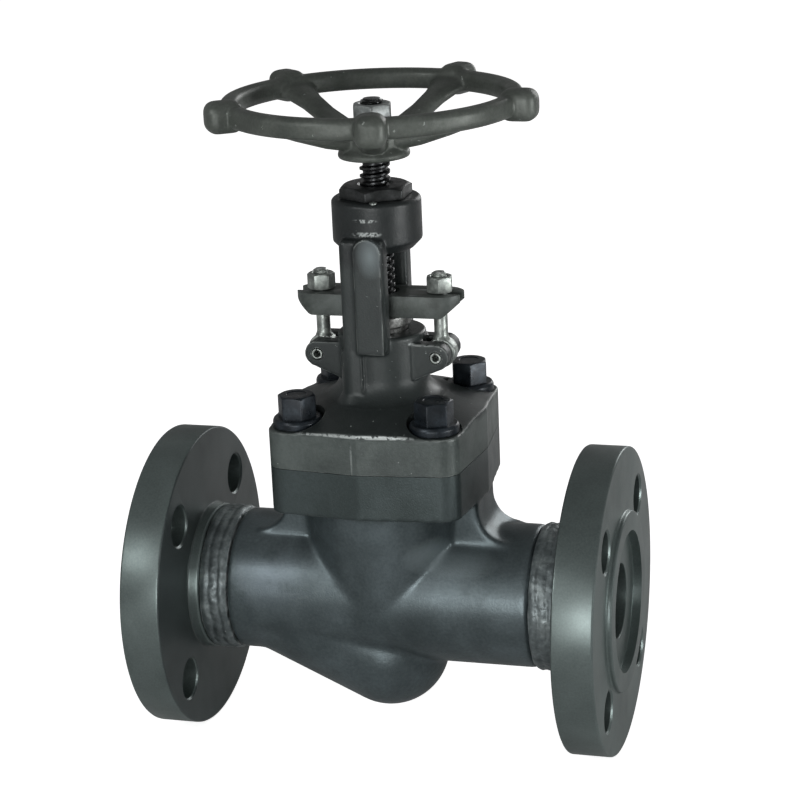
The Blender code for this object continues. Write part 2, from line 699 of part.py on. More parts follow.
def bonnet_bore():
    """Stuffing box, stem bore and the pocket for the backseat bush."""
    box_r, stem_r, bush_r = STUFFING_BORE / 2, STEM_BORE / 2, BUSH_OD / 2 + FIT_CLEARANCE
    profile = [(0, NECK_TOP + OVERCUT), (box_r, NECK_TOP + OVERCUT), (box_r, STUFFING_FLOOR),
               (stem_r, STUFFING_FLOOR), (stem_r, BUSH_TOP + GAP), (bush_r, BUSH_TOP + GAP),
               (bush_r, SPIGOT_BASE - OVERCUT), (0, SPIGOT_BASE - OVERCUT)]
    return turned("bonnet_bore", profile, 28)


def yoke_head_bore():
    """The bore for the yoke nut, with a ledge that the nut stands on."""
    nut_r = YOKE_NUT_BODY / 2 + FIT_CLEARANCE
    ledge_r = STEM / 2 + 2 * GUIDE_CLEARANCE
    ledge = HEAD_BASE + YOKE_NUT_LEDGE
    profile = [(0, HEAD_TOP + OVERCUT), (nut_r, HEAD_TOP + OVERCUT), (nut_r, ledge),
               (ledge_r, ledge), (ledge_r, HEAD_BASE - OVERCUT), (0, HEAD_BASE - OVERCUT)]
    return turned("yoke_head_bore", profile, 28)


def grub_screw_hole():
    hole = rod("grub_screw_hole", GRUB_SCREW + 2 * GAP, HEAD_TOP - GRUB_SCREW_LENGTH - GAP,
               HEAD_TOP + OVERCUT, 10)
    return move(hole, *grub_screw_place())


def grub_screw_place():
    """Place of the grub screw on the head, just outside the hexagon."""
    reach = YOKE_NUT_FLATS / 2 + GRUB_SCREW / 2 + GUIDE_CLEARANCE
    return reach * sin(GRUB_SCREW_ANGLE), -reach * cos(GRUB_SCREW_ANGLE)


def grub_screw():
    base, top, r = HEAD_TOP - GRUB_SCREW_LENGTH, HEAD_TOP + 0.6 * MM, GRUB_SCREW / 2
    profile = [(0, top), (r - 0.6 * MM, top), (r, top - 0.6 * MM), (r, base), (0, base)]
    item = move(turned("yoke_nut_grub_screw", profile, 10), *grub_screw_place())
    finish(item, "zinc_plate")


def bonnet_bolt(name, x, y):
    """A hexagon flange bolt with a thick collar and a chamfered head."""
    seat = SPOT_FACE_Z + GAP
    collar_top = seat + BONNET_BOLT_COLLAR
    r, c = BONNET_BOLT_COLLAR_OD / 2, 1.2 * MM
    tip = BODY_TOP - BONNET_BOLT_ENGAGEMENT
    shank = BONNET_BOLT / 2
    item = hexagon(name, BONNET_BOLT_FLATS, collar_top - 1 * MM, collar_top + BONNET_BOLT_HEAD)
    rest = turned(name + "_shank", [
        (0, collar_top), (r - c, collar_top), (r, collar_top - c), (r, seat), (shank, seat),
        (shank, tip + c), (shank - c, tip), (0, tip)], 16)
    join(item, rest)
    item.location = (x, y, 0.0)
    rest.location = (x, y, 0.0)
    item.modifiers[0].object.location = (x, y, 0.0)
    finish(item, "bolt_black")


# ---------------------------------------------------------------- packing and gland

def backseat_bush():
    """The bush above the disc space; its cone meets the stem collar."""
    outer, inner = BUSH_OD / 2, STEM_BORE / 2
    lip = STEM_COLLAR / 2
    profile = [(outer, BUSH_TOP), (outer, SPIGOT_BASE), (lip, SPIGOT_BASE),
               (inner, SPIGOT_BASE + lip - inner), (inner, BUSH_TOP)]
    finish(turned("backseat_bush", profile), "trim_steel")


def packing_rings():
    for i in range(PACKING_COUNT):
        base = PACKING_BASE + i * (PACKING_HEIGHT + GAP)
        item = ring(f"packing_ring_{i + 1}", STUFFING_BORE - 2 * FIT_CLEARANCE, STEM_BORE, base,
                    base + PACKING_HEIGHT, 20)
        finish(item, "graphite")


def gland_follower():
    """The bush that presses the packing, with its own small flange."""
    nose, wide, hole = STUFFING_BORE / 2 - FIT_CLEARANCE, FOLLOWER_OD / 2, STEM_BORE / 2
    c = 1 * MM
    profile = [(hole, FOLLOWER_TOP), (wide - c, FOLLOWER_TOP), (wide, FOLLOWER_TOP - c),
               (wide, FOLLOWER_FLANGE_BASE), (nose, FOLLOWER_FLANGE_BASE),
               (nose, PACKING_TOP + GAP), (hole, PACKING_TOP + GAP)]
    finish(turned("gland_follower", profile), "trim_steel")


def gland_flange():
    """The oval gland with open slots for the eyebolts and undercut tips."""
    half, tip, under = GLAND_LENGTH / 2, GLAND_TIP, GLAND_UNDERCUT
    side_view = [(-half, GLAND_TOP - tip), (-half + under, GLAND_BASE),
                 (half - under, GLAND_BASE), (half, GLAND_TOP - tip), (half, GLAND_TOP),
                 (-half, GLAND_TOP)]
    item = outline_plate("gland_flange", side_view, GLAND_WIDTH + 2 * OVERCUT, upright=True)
    r = GLAND_WIDTH / 2
    plan = arc(half - r, 0, r, -90, 90, 12) + arc(r - half, 0, r, 90, 270, 12)
    keep_common(item, move(outline_plate("gland_plan", plan, 2 * GLAND_THICKNESS),
                           z=(GLAND_BASE + GLAND_TOP) / 2))
    cut(item, rod("gland_stem_hole", STEM + 4 * GUIDE_CLEARANCE, GLAND_BASE - OVERCUT,
                  GLAND_TOP + OVERCUT, 24))
    slot = EYEBOLT / 2 + GUIDE_CLEARANCE / 2
    for side in (-1, 1):
        x, r_slot = side * EYEBOLT_SPACING / 2, slot
        open_end = side * (half + OVERCUT)
        outline = arc(x, 0, r_slot, 90, 270, 8) if side > 0 else arc(x, 0, r_slot, 270, 450, 8)
        outline += [(open_end, outline[-1][1]), (open_end, outline[0][1])]
        cut(item, move(outline_plate(f"gland_slot_{side}", outline, 2 * GLAND_THICKNESS),
                       z=(GLAND_BASE + GLAND_TOP) / 2))
    finish(item, "bonnet_paint")


def eyebolt(name, side):
    """A swing bolt; its origin is on its pin."""
    eye = EYE_OD / 2
    item = ring(name, EYE_OD, PIN + 2 * GAP, -EYE_WIDTH / 2, EYE_WIDTH / 2, 24)
    item.rotation_euler = (pi / 2, 0.0, 0.0)
    bar = EYEBOLT / 2
    c = 0.8 * MM
    reach = EYEBOLT_TOP - PIN_Z
    root = sqrt(eye ** 2 - bar ** 2) - 1 * MM
    shank = turned(name + "_shank", [
        (0, reach), (bar - c, reach), (bar, reach - c), (bar, root), (0, root)], 16)
    place = (side * EYEBOLT_SPACING / 2, 0.0, PIN_Z)
    item.location = place
    shank.location = place
    join(item, shank)
    finish(item, "zinc_plate")


def gland_nut(name, side):
    item = hexagon(name, GLAND_NUT_FLATS, GLAND_NUT_BASE, GLAND_NUT_BASE + GLAND_NUT_HEIGHT)
    hole = rod(name + "_thread", EYEBOLT + 2 * FIT_CLEARANCE, GLAND_NUT_BASE - OVERCUT,
               EYEBOLT_TOP + OVERCUT, 14)
    cut(item, hole)
    for piece in (item, hole, item.modifiers[0].object):
        piece.location = (side * EYEBOLT_SPACING / 2, 0.0, 0.0)
    finish(item, "zinc_plate")


def eyebolt_pin(name, side):
    """The pin through both ears of a clevis lug, flush outside."""
    reach, r, c = EAR_OUTER_Y + 0.5 * MM, PIN / 2, 0.6 * MM
    profile = [(0, reach), (r - c, reach), (r, reach - c), (r, c - reach), (r - c, -reach),
               (0, -reach)]
    item = turned(name, profile, 14)
    item.rotation_euler = (pi / 2, 0.0, 0.0)
    item.location = (side * EYEBOLT_SPACING / 2, 0.0, PIN_Z)
    finish(item, "zinc_plate")


# ---------------------------------------------------------------- stem and disc

def disc():
    """The plug: a conical seat face under a cup that holds the stem button."""
    offset = GAP * sqrt(2)
    low = SEAT_BORE / 2 - offset
    r = DISC_OD / 2
    pocket = DISC_POCKET / 2
    profile = [(pocket, DISC_TOP), (r - 2 * MM, DISC_TOP), (r, DISC_TOP - 2 * MM),
               (r, DISC_BASE + r - low), (low, DISC_BASE), (low - 1 * MM, DISC_BASE - 1 * MM),
               (0, DISC_BASE - 1 * MM)]
    item = turned("disc", [(0, DISC_TOP)] + profile)
    cut(item, rod("disc_pocket", DISC_POCKET, POCKET_FLOOR, DISC_TOP + OVERCUT, 24))
    finish(item, "trim_steel")


def disc_nut():
    """The nut that closes the cup over the stem button."""
    item = hexagon("disc_nut", DISC_NUT_FLATS, DISC_TOP + GAP, DISC_NUT_TOP)
    barrel = rod("disc_nut_barrel", DISC_POCKET - 2 * FIT_CLEARANCE, DISC_NUT_BASE, DISC_TOP + 2 * MM, 20)
    join(item, barrel)
    cut(item, rod("disc_nut_hole", STEM_NECK + 2 * STEM_CLEARANCE, DISC_NUT_BASE - OVERCUT,
                  DISC_NUT_TOP + OVERCUT, 20))
    finish(item, "trim_steel")


def stem():
    """Button, neck, shaft with the backseat collar, square and threaded end."""
    r, neck_r, button, collar = STEM / 2, STEM_NECK / 2, STEM_BUTTON / 2, STEM_COLLAR / 2
    neck_top = DISC_NUT_TOP + 2 * MM
    collar_low = BACKSEAT_TIP - STEM_COLLAR_HEIGHT
    profile = [(0, STEM_SHOULDER), (r - 0.5 * MM, STEM_SHOULDER), (r, STEM_SHOULDER - 0.5 * MM),
               (r, BACKSEAT_TIP + COLLAR_CONE), (collar, BACKSEAT_TIP), (collar, collar_low),
               (r, collar_low - COLLAR_CONE), (r, neck_top + r - neck_r), (neck_r, neck_top),
               (neck_r, BUTTON_TOP), (button, BUTTON_TOP), (button, BUTTON_BASE), (0, BUTTON_BASE)]
    item = turned("stem", profile, 24)
    half = STEM_SQUARE / 2
    square = box("stem_square", (-half, -half, STEM_SHOULDER - 5 * MM), (half, half, HUB_TOP - 0.8 * MM))
    end, c = STEM_END / 2, 1 * MM
    threaded = turned("stem_end", [
        (0, STEM_TOP), (end - c, STEM_TOP), (end, STEM_TOP - c), (end, HUB_TOP + GAP),
        (0, HUB_TOP + GAP)], 16)
    relief = rod("stem_relief", STEM_SQUARE * 0.9, STEM_SHOULDER - 3 * MM, WHEEL_NUT_BASE, 12)
    join(item, square, relief, threaded)
    finish(item, "stem_steel")


def yoke_nut():
    """The threaded bush in the yoke head; its hexagon stands on the head."""
    item = hexagon("yoke_nut", YOKE_NUT_FLATS, YOKE_NUT_SHOULDER, YOKE_NUT_TOP)
    item.rotation_euler = (0.0, 0.0, pi / 6)
    join(item, rod("yoke_nut_body", YOKE_NUT_BODY, HEAD_BASE + YOKE_NUT_LEDGE + GAP,
                   YOKE_NUT_SHOULDER + 1 * MM, 24))
    cut(item, rod("yoke_nut_thread", STEM_BORE, HEAD_BASE - OVERCUT, YOKE_NUT_TOP + OVERCUT, 24))
    finish(item, "yoke_nut_metal")


# ---------------------------------------------------------------- handwheel

def rim_profile():
    """A rounded section, taller than wide, listed down its outer side."""
    half_w, half_h, corner = RIM_WIDTH / 2, RIM_HEIGHT / 2, RIM_WIDTH * 0.36
    centre = RIM_OD / 2 - half_w
    out_x, in_x = centre + half_w - corner, centre - half_w + corner
    top, low = RIM_Z + half_h - corner, RIM_Z - half_h + corner
    return (arc(out_x, top, corner, 90, 0, 2) + arc(out_x, low, corner, 0, -90, 2)
            + arc(in_x, low, corner, -90, -180, 2) + arc(in_x, top, corner, 180, 90, 2))


def spoke(name, angle):
    """A dished spoke that widens where it meets the rim."""
    item = box(name, (0, -1, -1), (1, 1, 1))
    start, end = WHEEL_HUB_TOP_OD / 2 - 4 * MM, RIM_OD / 2 - RIM_WIDTH / 2
    z_start, z_end = HUB_BASE + WHEEL_HUB_HEIGHT * 0.62, RIM_Z
    for vert in item.data.vertices:
        outer = vert.co.x > 0.5
        half = SPOKE_WIDTH / 2 * (1.15 if outer else 1.0)
        thick = SPOKE_THICKNESS / 2
        vert.co = (end if outer else start, half * vert.co.y,
                   (z_end if outer else z_start) + thick * vert.co.z)
    item.rotation_euler = (0.0, 0.0, angle)
    return item


def knob(name, angle):
    """A rounded grip knob on the outside of the rim."""
    inner = RIM_OD / 2 - RIM_WIDTH / 2
    item = box(name, (inner, -KNOB_WIDTH / 2, RIM_Z - KNOB_HEIGHT / 2),
               (KNOB_REACH, KNOB_WIDTH / 2, RIM_Z + KNOB_HEIGHT / 2))
    bevel = item.modifiers.new("soft_edges", "BEVEL")
    bevel.width = KNOB_BEVEL
    bevel.segments = 2
    item.rotation_euler = (0.0, 0.0, angle)
    return item


def wheel_hub():
    r, top_r, c = WHEEL_HUB_OD / 2, WHEEL_HUB_TOP_OD / 2, 1 * MM
    step = HUB_BASE + WHEEL_HUB_COLLAR
    profile = [(0, HUB_TOP), (top_r - c, HUB_TOP), (top_r, HUB_TOP - c), (top_r, step + 2 * MM),
               (r - c, step), (r, step - c), (r, HUB_BASE + c), (r - c, HUB_BASE), (0, HUB_BASE)]
    return turned("handwheel_hub", profile, 28)


def handwheel():
    item = turned("handwheel", rim_profile(), 50)
    join(item, wheel_hub())
    for i in range(KNOB_COUNT):
        angle = KNOB_ANGLE + i * 2 * pi / KNOB_COUNT
        join(item, spoke(f"spoke_{i}", angle), knob(f"knob_{i}", angle))
    half = STEM_SQUARE / 2 + GAP
    cut(item, box("hub_square", (-half, -half, HUB_BASE - OVERCUT), (half, half, HUB_TOP + OVERCUT)))
    finish(item, "wheel_iron")


def handwheel_fasteners():
    hole = STEM_END + 2 * GAP
    washer = ring("handwheel_washer", WASHER_OD, hole, WASHER_BASE,
                  WASHER_BASE + WASHER_THICKNESS, 24)
    finish(washer, "zinc_plate")
    nut = hexagon("handwheel_nut", WHEEL_NUT_FLATS, WHEEL_NUT_BASE, WHEEL_NUT_TOP)
    cut(nut, rod("handwheel_nut_thread", hole, WHEEL_NUT_BASE - OVERCUT, STEM_TOP + OVERCUT, 16))
    finish(nut, "wheel_iron")


# ---------------------------------------------------------------- assembly

def build():
    clear_scene()
    body()
    for side, word in ((-1, "inlet"), (1, "outlet")):
        flange(f"{word}_flange", side)
        weld(f"{word}_weld", side)
    seat_ring()
    body_gasket()
    bonnet()
    for i, (x, y) in enumerate(bonnet_bolt_places()):
        bonnet_bolt(f"bonnet_bolt_{i + 1}", x, y)
    backseat_bush()
    packing_rings()
    gland_follower()
    gland_flange()
    for side, word in ((-1, "left"), (1, "right")):
        eyebolt(f"gland_eyebolt_{word}", side)
        gland_nut(f"gland_nut_{word}", side)
        eyebolt_pin(f"eyebolt_pin_{word}", side)
    disc()
    disc_nut()
    stem()
    yoke_nut()
    grub_screw()
    handwheel()
    handwheel_fasteners()


build()
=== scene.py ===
"""Finished look of a flanged globe valve with a rising stem and a knobbed handwheel.

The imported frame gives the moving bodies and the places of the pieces. Each
sub-assembly below builds its own meshes at their real size, dresses them in a
worked finish and sets them on the body that carries them. Lengths are in
metres: +X runs towards the outlet, +Z up the stem, and -Y is the front.
"""

import logging
from dataclasses import dataclass
from enum import Enum
from math import cos, pi, radians, sin, sqrt
from typing import Callable, Iterable, Optional, Sequence, Union

import bpy
import bmesh
from mathutils import Matrix, Vector, noise


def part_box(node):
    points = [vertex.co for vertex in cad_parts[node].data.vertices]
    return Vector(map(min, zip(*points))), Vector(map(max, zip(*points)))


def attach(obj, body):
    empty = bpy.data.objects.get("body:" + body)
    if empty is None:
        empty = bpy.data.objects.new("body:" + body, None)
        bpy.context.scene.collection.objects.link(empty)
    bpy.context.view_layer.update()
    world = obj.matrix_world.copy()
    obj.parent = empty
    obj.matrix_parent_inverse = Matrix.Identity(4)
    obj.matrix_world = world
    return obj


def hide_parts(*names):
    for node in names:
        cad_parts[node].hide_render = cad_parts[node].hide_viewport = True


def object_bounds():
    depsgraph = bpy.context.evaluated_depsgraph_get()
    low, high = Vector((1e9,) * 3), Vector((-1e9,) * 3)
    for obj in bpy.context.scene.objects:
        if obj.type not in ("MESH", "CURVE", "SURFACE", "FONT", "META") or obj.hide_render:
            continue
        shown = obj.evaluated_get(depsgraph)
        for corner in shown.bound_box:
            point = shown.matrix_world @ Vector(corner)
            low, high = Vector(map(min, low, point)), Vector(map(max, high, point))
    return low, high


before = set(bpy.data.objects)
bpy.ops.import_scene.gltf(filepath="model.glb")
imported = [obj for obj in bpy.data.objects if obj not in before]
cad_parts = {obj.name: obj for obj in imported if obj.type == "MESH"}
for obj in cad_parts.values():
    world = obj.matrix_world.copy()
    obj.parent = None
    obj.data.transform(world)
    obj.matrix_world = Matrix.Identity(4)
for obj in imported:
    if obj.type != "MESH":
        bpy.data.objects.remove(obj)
CAD_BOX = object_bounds()

MM = 0.001
FULL_TURN = 2 * pi
LOG = logging.getLogger("globe_valve")

# Sizes that several sub-assemblies share
FACE_GAP = 0.3 * MM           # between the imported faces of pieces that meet
FIT_GAP = 0.45 * MM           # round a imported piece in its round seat, on the radius
BOLT_HALF = 37 * MM           # from the stem axis to the bonnet bolts, along X and along Y
PIN_X = 32.3 * MM             # axes of the pins that the swing bolts turn on
PIN_Z = 134.5 * MM
FAR = 100 * MM                # reach of the tools that trim right across a piece
QUARTER = pi / 2

Point2 = tuple[float, float]
Point3 = tuple[float, float, float]
Outline = list[Point2]
Colour = Point3
Piece = bpy.types.Object
Socket = bpy.types.NodeSocket
Value = Union[float, Sequence[float], Socket]


# ------------------------------------------------------------------ finishes

class Lay(Enum):
    """Direction of the tool marks left on a metal surface."""

    NONE = "none"
    ROUND_X = "X"
    ROUND_Z = "Z"


class Axis(Enum):
    """Axis along which a finish changes."""

    X = "X"
    Z = "Z"


@dataclass(frozen=True)
class Band:
    """A stretch of a piece drawn in another tone; on the bonnet paint it is painted shade, darker where less
    light falls.
    """

    axis: Axis
    start: float
    end: float
    feather: float
    tone: Colour
    amount: float


@dataclass(frozen=True)
class ScuffAndHighlight:
    """A small place in a paler tone: bare metal through chips and wear on some, a painted highlight on
    others.
    """

    centre: Point3
    half: Point3
    tone: Colour
    amount: float
    grain: float = 1.6 * MM
    cover: float = 0.5
    core: float = 0.55


CLOUD_SPAN = (0.3, 0.7)       # nearly all of a cloudy pattern lies in here
WAVES_PER_UNIT = 3.2          # rings that the wave pattern draws in one unit of its scale
PATCH_SHARE = 0.72            # of the patches in the tone of a metal; the rest is fine speckle
MARK_SHARE = 0.6              # of the tool marks in the relief; the rest is grain
TONE_STOPS = (0.36, 0.5, 0.64)
STAIN_SPAN = (0.52, 0.68)
STAIN_TONE = 0.45
CHIP_LIMIT = 0.76
WEAR_SPAN = 0.05
WORN_SPAN = (0.42, 0.6)


class Wiring:
    """Nodes of one material, added a step at a time."""

    def __init__(self, material: bpy.types.Material) -> None:
        """Open a material's node tree.

        Args:
            material: The material to wire; its nodes are switched on.
        """
        material.use_nodes = True
        self.tree = material.node_tree
        self.shader = self.tree.nodes["Principled BSDF"]
        self.place = self.tree.nodes.new("ShaderNodeTexCoord").outputs["Object"]
        self.geometry = self.tree.nodes.new("ShaderNodeNewGeometry")

    def feed(self, value: Value, socket: Socket) -> None:
        """Set a socket to a plain number or colour, or link a socket into it.

        Args:
            value: The number, the colour or the output socket.
            socket: The input to feed.
        """
        if isinstance(value, Socket):
            self.tree.links.new(value, socket)
        else:
            socket.default_value = value

    def add(self, kind: str, inputs: dict[Union[str, int], Value]) -> bpy.types.Node:
        """Add a node and feed its inputs.

        Args:
            kind: Its type, without the ShaderNode in front.
            inputs: What goes into each input, by name or number.

        Returns:
            The node.
        """
        node = self.tree.nodes.new("ShaderNode" + kind)
        for name, value in inputs.items():
            self.feed(value, node.inputs[name])
        return node

    def cloud(self, size: float, detail: float = 4.0, swirl: float = 0.0) -> Socket:
        """Add a cloudy pattern.

        Args:
            size: Width of its patches.
            detail: Number of finer layers.
            swirl: Distortion of the pattern.

        Returns:
            The pattern's value, centred on a half.
        """
        return self.add("TexNoise", {"Vector": self.place, "Scale": 1.0 / size, "Detail": detail,
                                     "Distortion": swirl}).outputs["Fac"]

    def along(self, axis: Axis) -> Socket:
        """Give the distance from the middle of the valve along an axis.

        Args:
            axis: The axis.

        Returns:
            The distance; along X it counts the same to either side.
        """
        split = self.add("SeparateXYZ", {"Vector": self.place})
        if axis is Axis.X:
            return self.work("ABSOLUTE", split.outputs["X"], 0.0)
        return split.outputs["Z"]

    def within(self, band: Band) -> Socket:
        """Tell how far a point lies inside a band, with ragged edges.

        Args:
            band: The band.

        Returns:
            The band's amount inside it, fading to 0 outside.
        """
        ragged = self.remap(self.cloud(8 * MM, 3.0), CLOUD_SPAN, (-band.feather / 2, band.feather / 2))
        here = self.work("ADD", self.along(band.axis), ragged)
        rise = self.remap(here, (band.start - band.feather, band.start), (0.0, band.amount))
        fall = self.remap(here, (band.end, band.end + band.feather), (1.0, 0.0))
        return self.work("MULTIPLY", rise, fall)

    def scuff_and_highlight_share(self, scuff_and_highlight: ScuffAndHighlight) -> Socket:
        """Tell how far a point lies inside a pale spot, bare metal on some finishes and a painted highlight
        on others, broken up by a fine pattern.

        Args:
            scuff_and_highlight: The pale spot.

        Returns:
            The spot's amount inside it, fading to 0 outside.
        """
        local = self.add("Mapping", {"Vector": self.place, "Scale": [1.0 / half for half in scuff_and_highlight.half],
                                     "Location": [-c / h for c, h in zip(scuff_and_highlight.centre, scuff_and_highlight.half)]})
        length = self.add("VectorMath", {0: local.outputs["Vector"]})
        length.operation = "LENGTH"
        inside = self.remap(length.outputs["Value"], (scuff_and_highlight.core, 1.0), (scuff_and_highlight.amount, 0.0))
        broken = self.remap(self.cloud(scuff_and_highlight.grain, 3.0), (scuff_and_highlight.cover - 0.06, scuff_and_highlight.cover + 0.04))
        return self.work("MULTIPLY", inside, broken)

    def grooves(self, pitch: float, lay: Lay) -> Socket:
        """Add the rings that a lathe tool leaves.

        Args:
            pitch: Distance from ring to ring.
            lay: Axis that the rings run round.

        Returns:
            The height of the rings.
        """
        wave = self.add("TexWave", {"Vector": self.place, "Scale": 1.0 / pitch / WAVES_PER_UNIT,
                                    "Distortion": 0.4})
        wave.wave_type = "RINGS"
        wave.rings_direction = lay.value
        return wave.outputs["Fac"]

    def ramp(self, value: Value, stops: Sequence[tuple[float, Colour]]) -> Socket:
        """Turn a value into a colour.

        Args:
            value: The value to read.
            stops: Pairs of position and colour.

        Returns:
            The colour.
        """
        node = self.add("ValToRGB", {"Fac": value})
        elements = node.color_ramp.elements
        while len(elements) < len(stops):
            elements.new(0.5)
        for element, (position, colour) in zip(elements, stops):
            element.position = position
            element.color = (*colour, 1.0)
        return node.outputs["Color"]

    def remap(self, value: Value, source: Point2, target: Point2 = (0.0, 1.0)) -> Socket:
        """Stretch one range of values over another, held at both ends.

        Args:
            value: The value to stretch.
            source: Its lowest and highest.
            target: What they become.

        Returns:
            The new value.
        """
        return self.add("MapRange", {"Value": value, "From Min": source[0], "From Max": source[1],
                                     "To Min": target[0], "To Max": target[1]}).outputs["Result"]

    def work(self, operation: str, first: Value, second: Value) -> Socket:
        """Add one sum.

        Args:
            operation: Name of the sum, such as MULTIPLY.
            first: First value.
            second: Second value.

        Returns:
            The answer.
        """
        node = self.add("Math", {0: first, 1: second})
        node.operation = operation
        return node.outputs["Value"]

    def blend(self, first: Value, second: Value, share: float) -> Socket:
        """Add two patterns, the first with the given share and the second with the rest."""
        return self.work("ADD", self.work("MULTIPLY", first, share), self.work("MULTIPLY", second, 1 - share))

    def lay_over(self, amount: Value, under: Value, over: Colour) -> Socket:
        """Lay a colour over another.

        Args:
            amount: How much of the upper colour shows.
            under: The colour beneath.
            over: The colour on top.

        Returns:
            The mixed colour.
        """
        node = self.tree.nodes.new("ShaderNodeMix")
        node.data_type = "RGBA"
        for value, socket in ((amount, node.inputs["Factor"]), (under, node.inputs[6]),
                              ((*over, 1.0), node.inputs[7])):
            self.feed(value, socket)
        return node.outputs[2]

    def relief(self, height: Value, depth: float) -> None:
        """Raise the surface by a pattern.

        Args:
            height: The pattern, from 0 to 1.
            depth: Its height at 1.
        """
        bump = self.add("Bump", {"Height": height, "Distance": depth, "Strength": 1.0})
        self.feed(bump.outputs["Normal"], self.shader.inputs["Normal"])


@dataclass(frozen=True)
class MetalFinish:
    """A metal surface: its tones, its tool marks, its stains, its worn edges, and on some finishes painted
    shade and painted highlights.
    """

    name: str
    tones: tuple[Colour, Colour, Colour]
    metallic: float
    roughness: Point2
    patch: float = 18 * MM
    grain: float = 0.9 * MM
    depth: float = 0.12 * MM
    lay: Lay = Lay.NONE
    pitch: float = 0.7 * MM
    stain: float = 0.35
    worn: Optional[Colour] = None
    wear_from: float = 0.53
    wear_patch: float = 6 * MM
    chips: float = 0.0
    bands: tuple[Band, ...] = ()
    scuffs_and_highlights: tuple[ScuffAndHighlight, ...] = ()

    def material(self) -> bpy.types.Material:
        """Build the material once and return it.

        Returns:
            The material.
        """
        found = bpy.data.materials.get(self.name)
        if found:
            return found
        made = bpy.data.materials.new(self.name)
        wiring = Wiring(made)
        self.colour(wiring)
        self.surface(wiring)
        wiring.shader.inputs["Metallic"].default_value = self.metallic
        return made

    def colour(self, wiring: Wiring) -> None:
        """Mottle the tones, darken stains, lay the bands (painted shade on the bonnet paint), bare the edges
        and lay the pale spots (worn bare metal, and painted highlights).

        Args:
            wiring: Nodes of the material.
        """
        tone = wiring.blend(wiring.cloud(self.patch, 5.0, swirl=0.3), wiring.cloud(self.grain * 2, 3.0),
                            PATCH_SHARE)
        colour = wiring.ramp(tone, tuple(zip(TONE_STOPS, self.tones)))
        stains = wiring.remap(wiring.cloud(self.patch * 2.4, 6.0, swirl=1.2), STAIN_SPAN, (0.0, self.stain))
        colour = wiring.lay_over(stains, colour, tuple(c * STAIN_TONE for c in self.tones[0]))
        # bands: on the bonnet paint they are painted shade
        for band in self.bands:
            colour = wiring.lay_over(wiring.within(band), colour, band.tone)
        if self.chips > 0:
            specks = wiring.remap(wiring.cloud(2.6 * MM, 2.0), (CHIP_LIMIT - 0.02 - self.chips, CHIP_LIMIT),
                                  (0.0, 0.9))
            colour = wiring.lay_over(specks, colour, self.worn or self.tones[2])
        if self.worn:
            edge = wiring.remap(wiring.geometry.outputs["Pointiness"],
                                (self.wear_from, self.wear_from + WEAR_SPAN))
            broken = wiring.remap(wiring.cloud(self.wear_patch, 5.0), WORN_SPAN)
            colour = wiring.lay_over(wiring.work("MULTIPLY", edge, broken), colour, self.worn)
        # pale spots: worn bare metal, and painted highlights on the body and on the front rib of the bonnet
        for scuff_and_highlight in self.scuffs_and_highlights:
            colour = wiring.lay_over(wiring.scuff_and_highlight_share(scuff_and_highlight), colour, scuff_and_highlight.tone)
        wiring.feed(colour, wiring.shader.inputs["Base Color"])

    def surface(self, wiring: Wiring) -> None:
        """Vary the gloss and raise the grain and tool marks.

        Args:
            wiring: Nodes of the material.
        """
        gloss = wiring.remap(wiring.cloud(self.patch * 0.6, 4.0), CLOUD_SPAN, self.roughness)
        wiring.feed(gloss, wiring.shader.inputs["Roughness"])
        height = wiring.cloud(self.grain, 4.0)
        if self.lay is not Lay.NONE:
            height = wiring.blend(wiring.grooves(self.pitch, self.lay), height, MARK_SHARE)
        wiring.relief(height, self.depth)


FORGED = MetalFinish("forged_body", ((0.070, 0.090, 0.095), (0.098, 0.124, 0.131), (0.132, 0.165, 0.176)),
                     0.62, (0.28, 0.42), patch=30 * MM, grain=0.8 * MM, depth=0.10 * MM, stain=0.30,
                     worn=(0.34, 0.37, 0.38), wear_from=0.55,
                     bands=(Band(Axis.Z, 57 * MM, 200 * MM, 4 * MM, (0.036, 0.048, 0.044), 0.62),),
                     # painted highlights: a pale bluish patch on the front of the right pipe arm where it
                     # sweeps into the chest, and a fainter bluish patch on the front of the left pipe arm
                     scuffs_and_highlights=(ScuffAndHighlight((42 * MM, -33 * MM, 31 * MM), (30 * MM, 14 * MM, 12 * MM),
                                   (0.40, 0.48, 0.50), 0.80, 40 * MM, 0.32, 0.05),
                             ScuffAndHighlight((-60 * MM, -34 * MM, 14 * MM), (24 * MM, 16 * MM, 20 * MM),
                                   (0.24, 0.29, 0.33), 0.40, 16 * MM, 0.42, 0.1)))
MACHINED = MetalFinish("machined_flange",
                       ((0.104, 0.130, 0.126), (0.138, 0.170, 0.165), (0.172, 0.210, 0.204)),
                       0.70, (0.30, 0.42), patch=50 * MM, grain=0.5 * MM, depth=0.03 * MM,
                       lay=Lay.ROUND_X, pitch=0.8 * MM, stain=0.20, worn=(0.36, 0.41, 0.39),
                       wear_from=0.56,
                       # darker across the back face of each flange
                       bands=(Band(Axis.X, 104.2 * MM, 105.4 * MM, 0.4 * MM, (0.045, 0.052, 0.054), 0.60),))
WELDED = MetalFinish("weld_metal", ((0.100, 0.120, 0.124), (0.160, 0.188, 0.192), (0.270, 0.310, 0.312)),
                     0.60, (0.28, 0.52), patch=11 * MM, grain=0.9 * MM, depth=0.16 * MM, stain=0.45,
                     worn=(0.42, 0.45, 0.45), wear_from=0.54, chips=0.03)
BARE = (0.46, 0.50, 0.49)
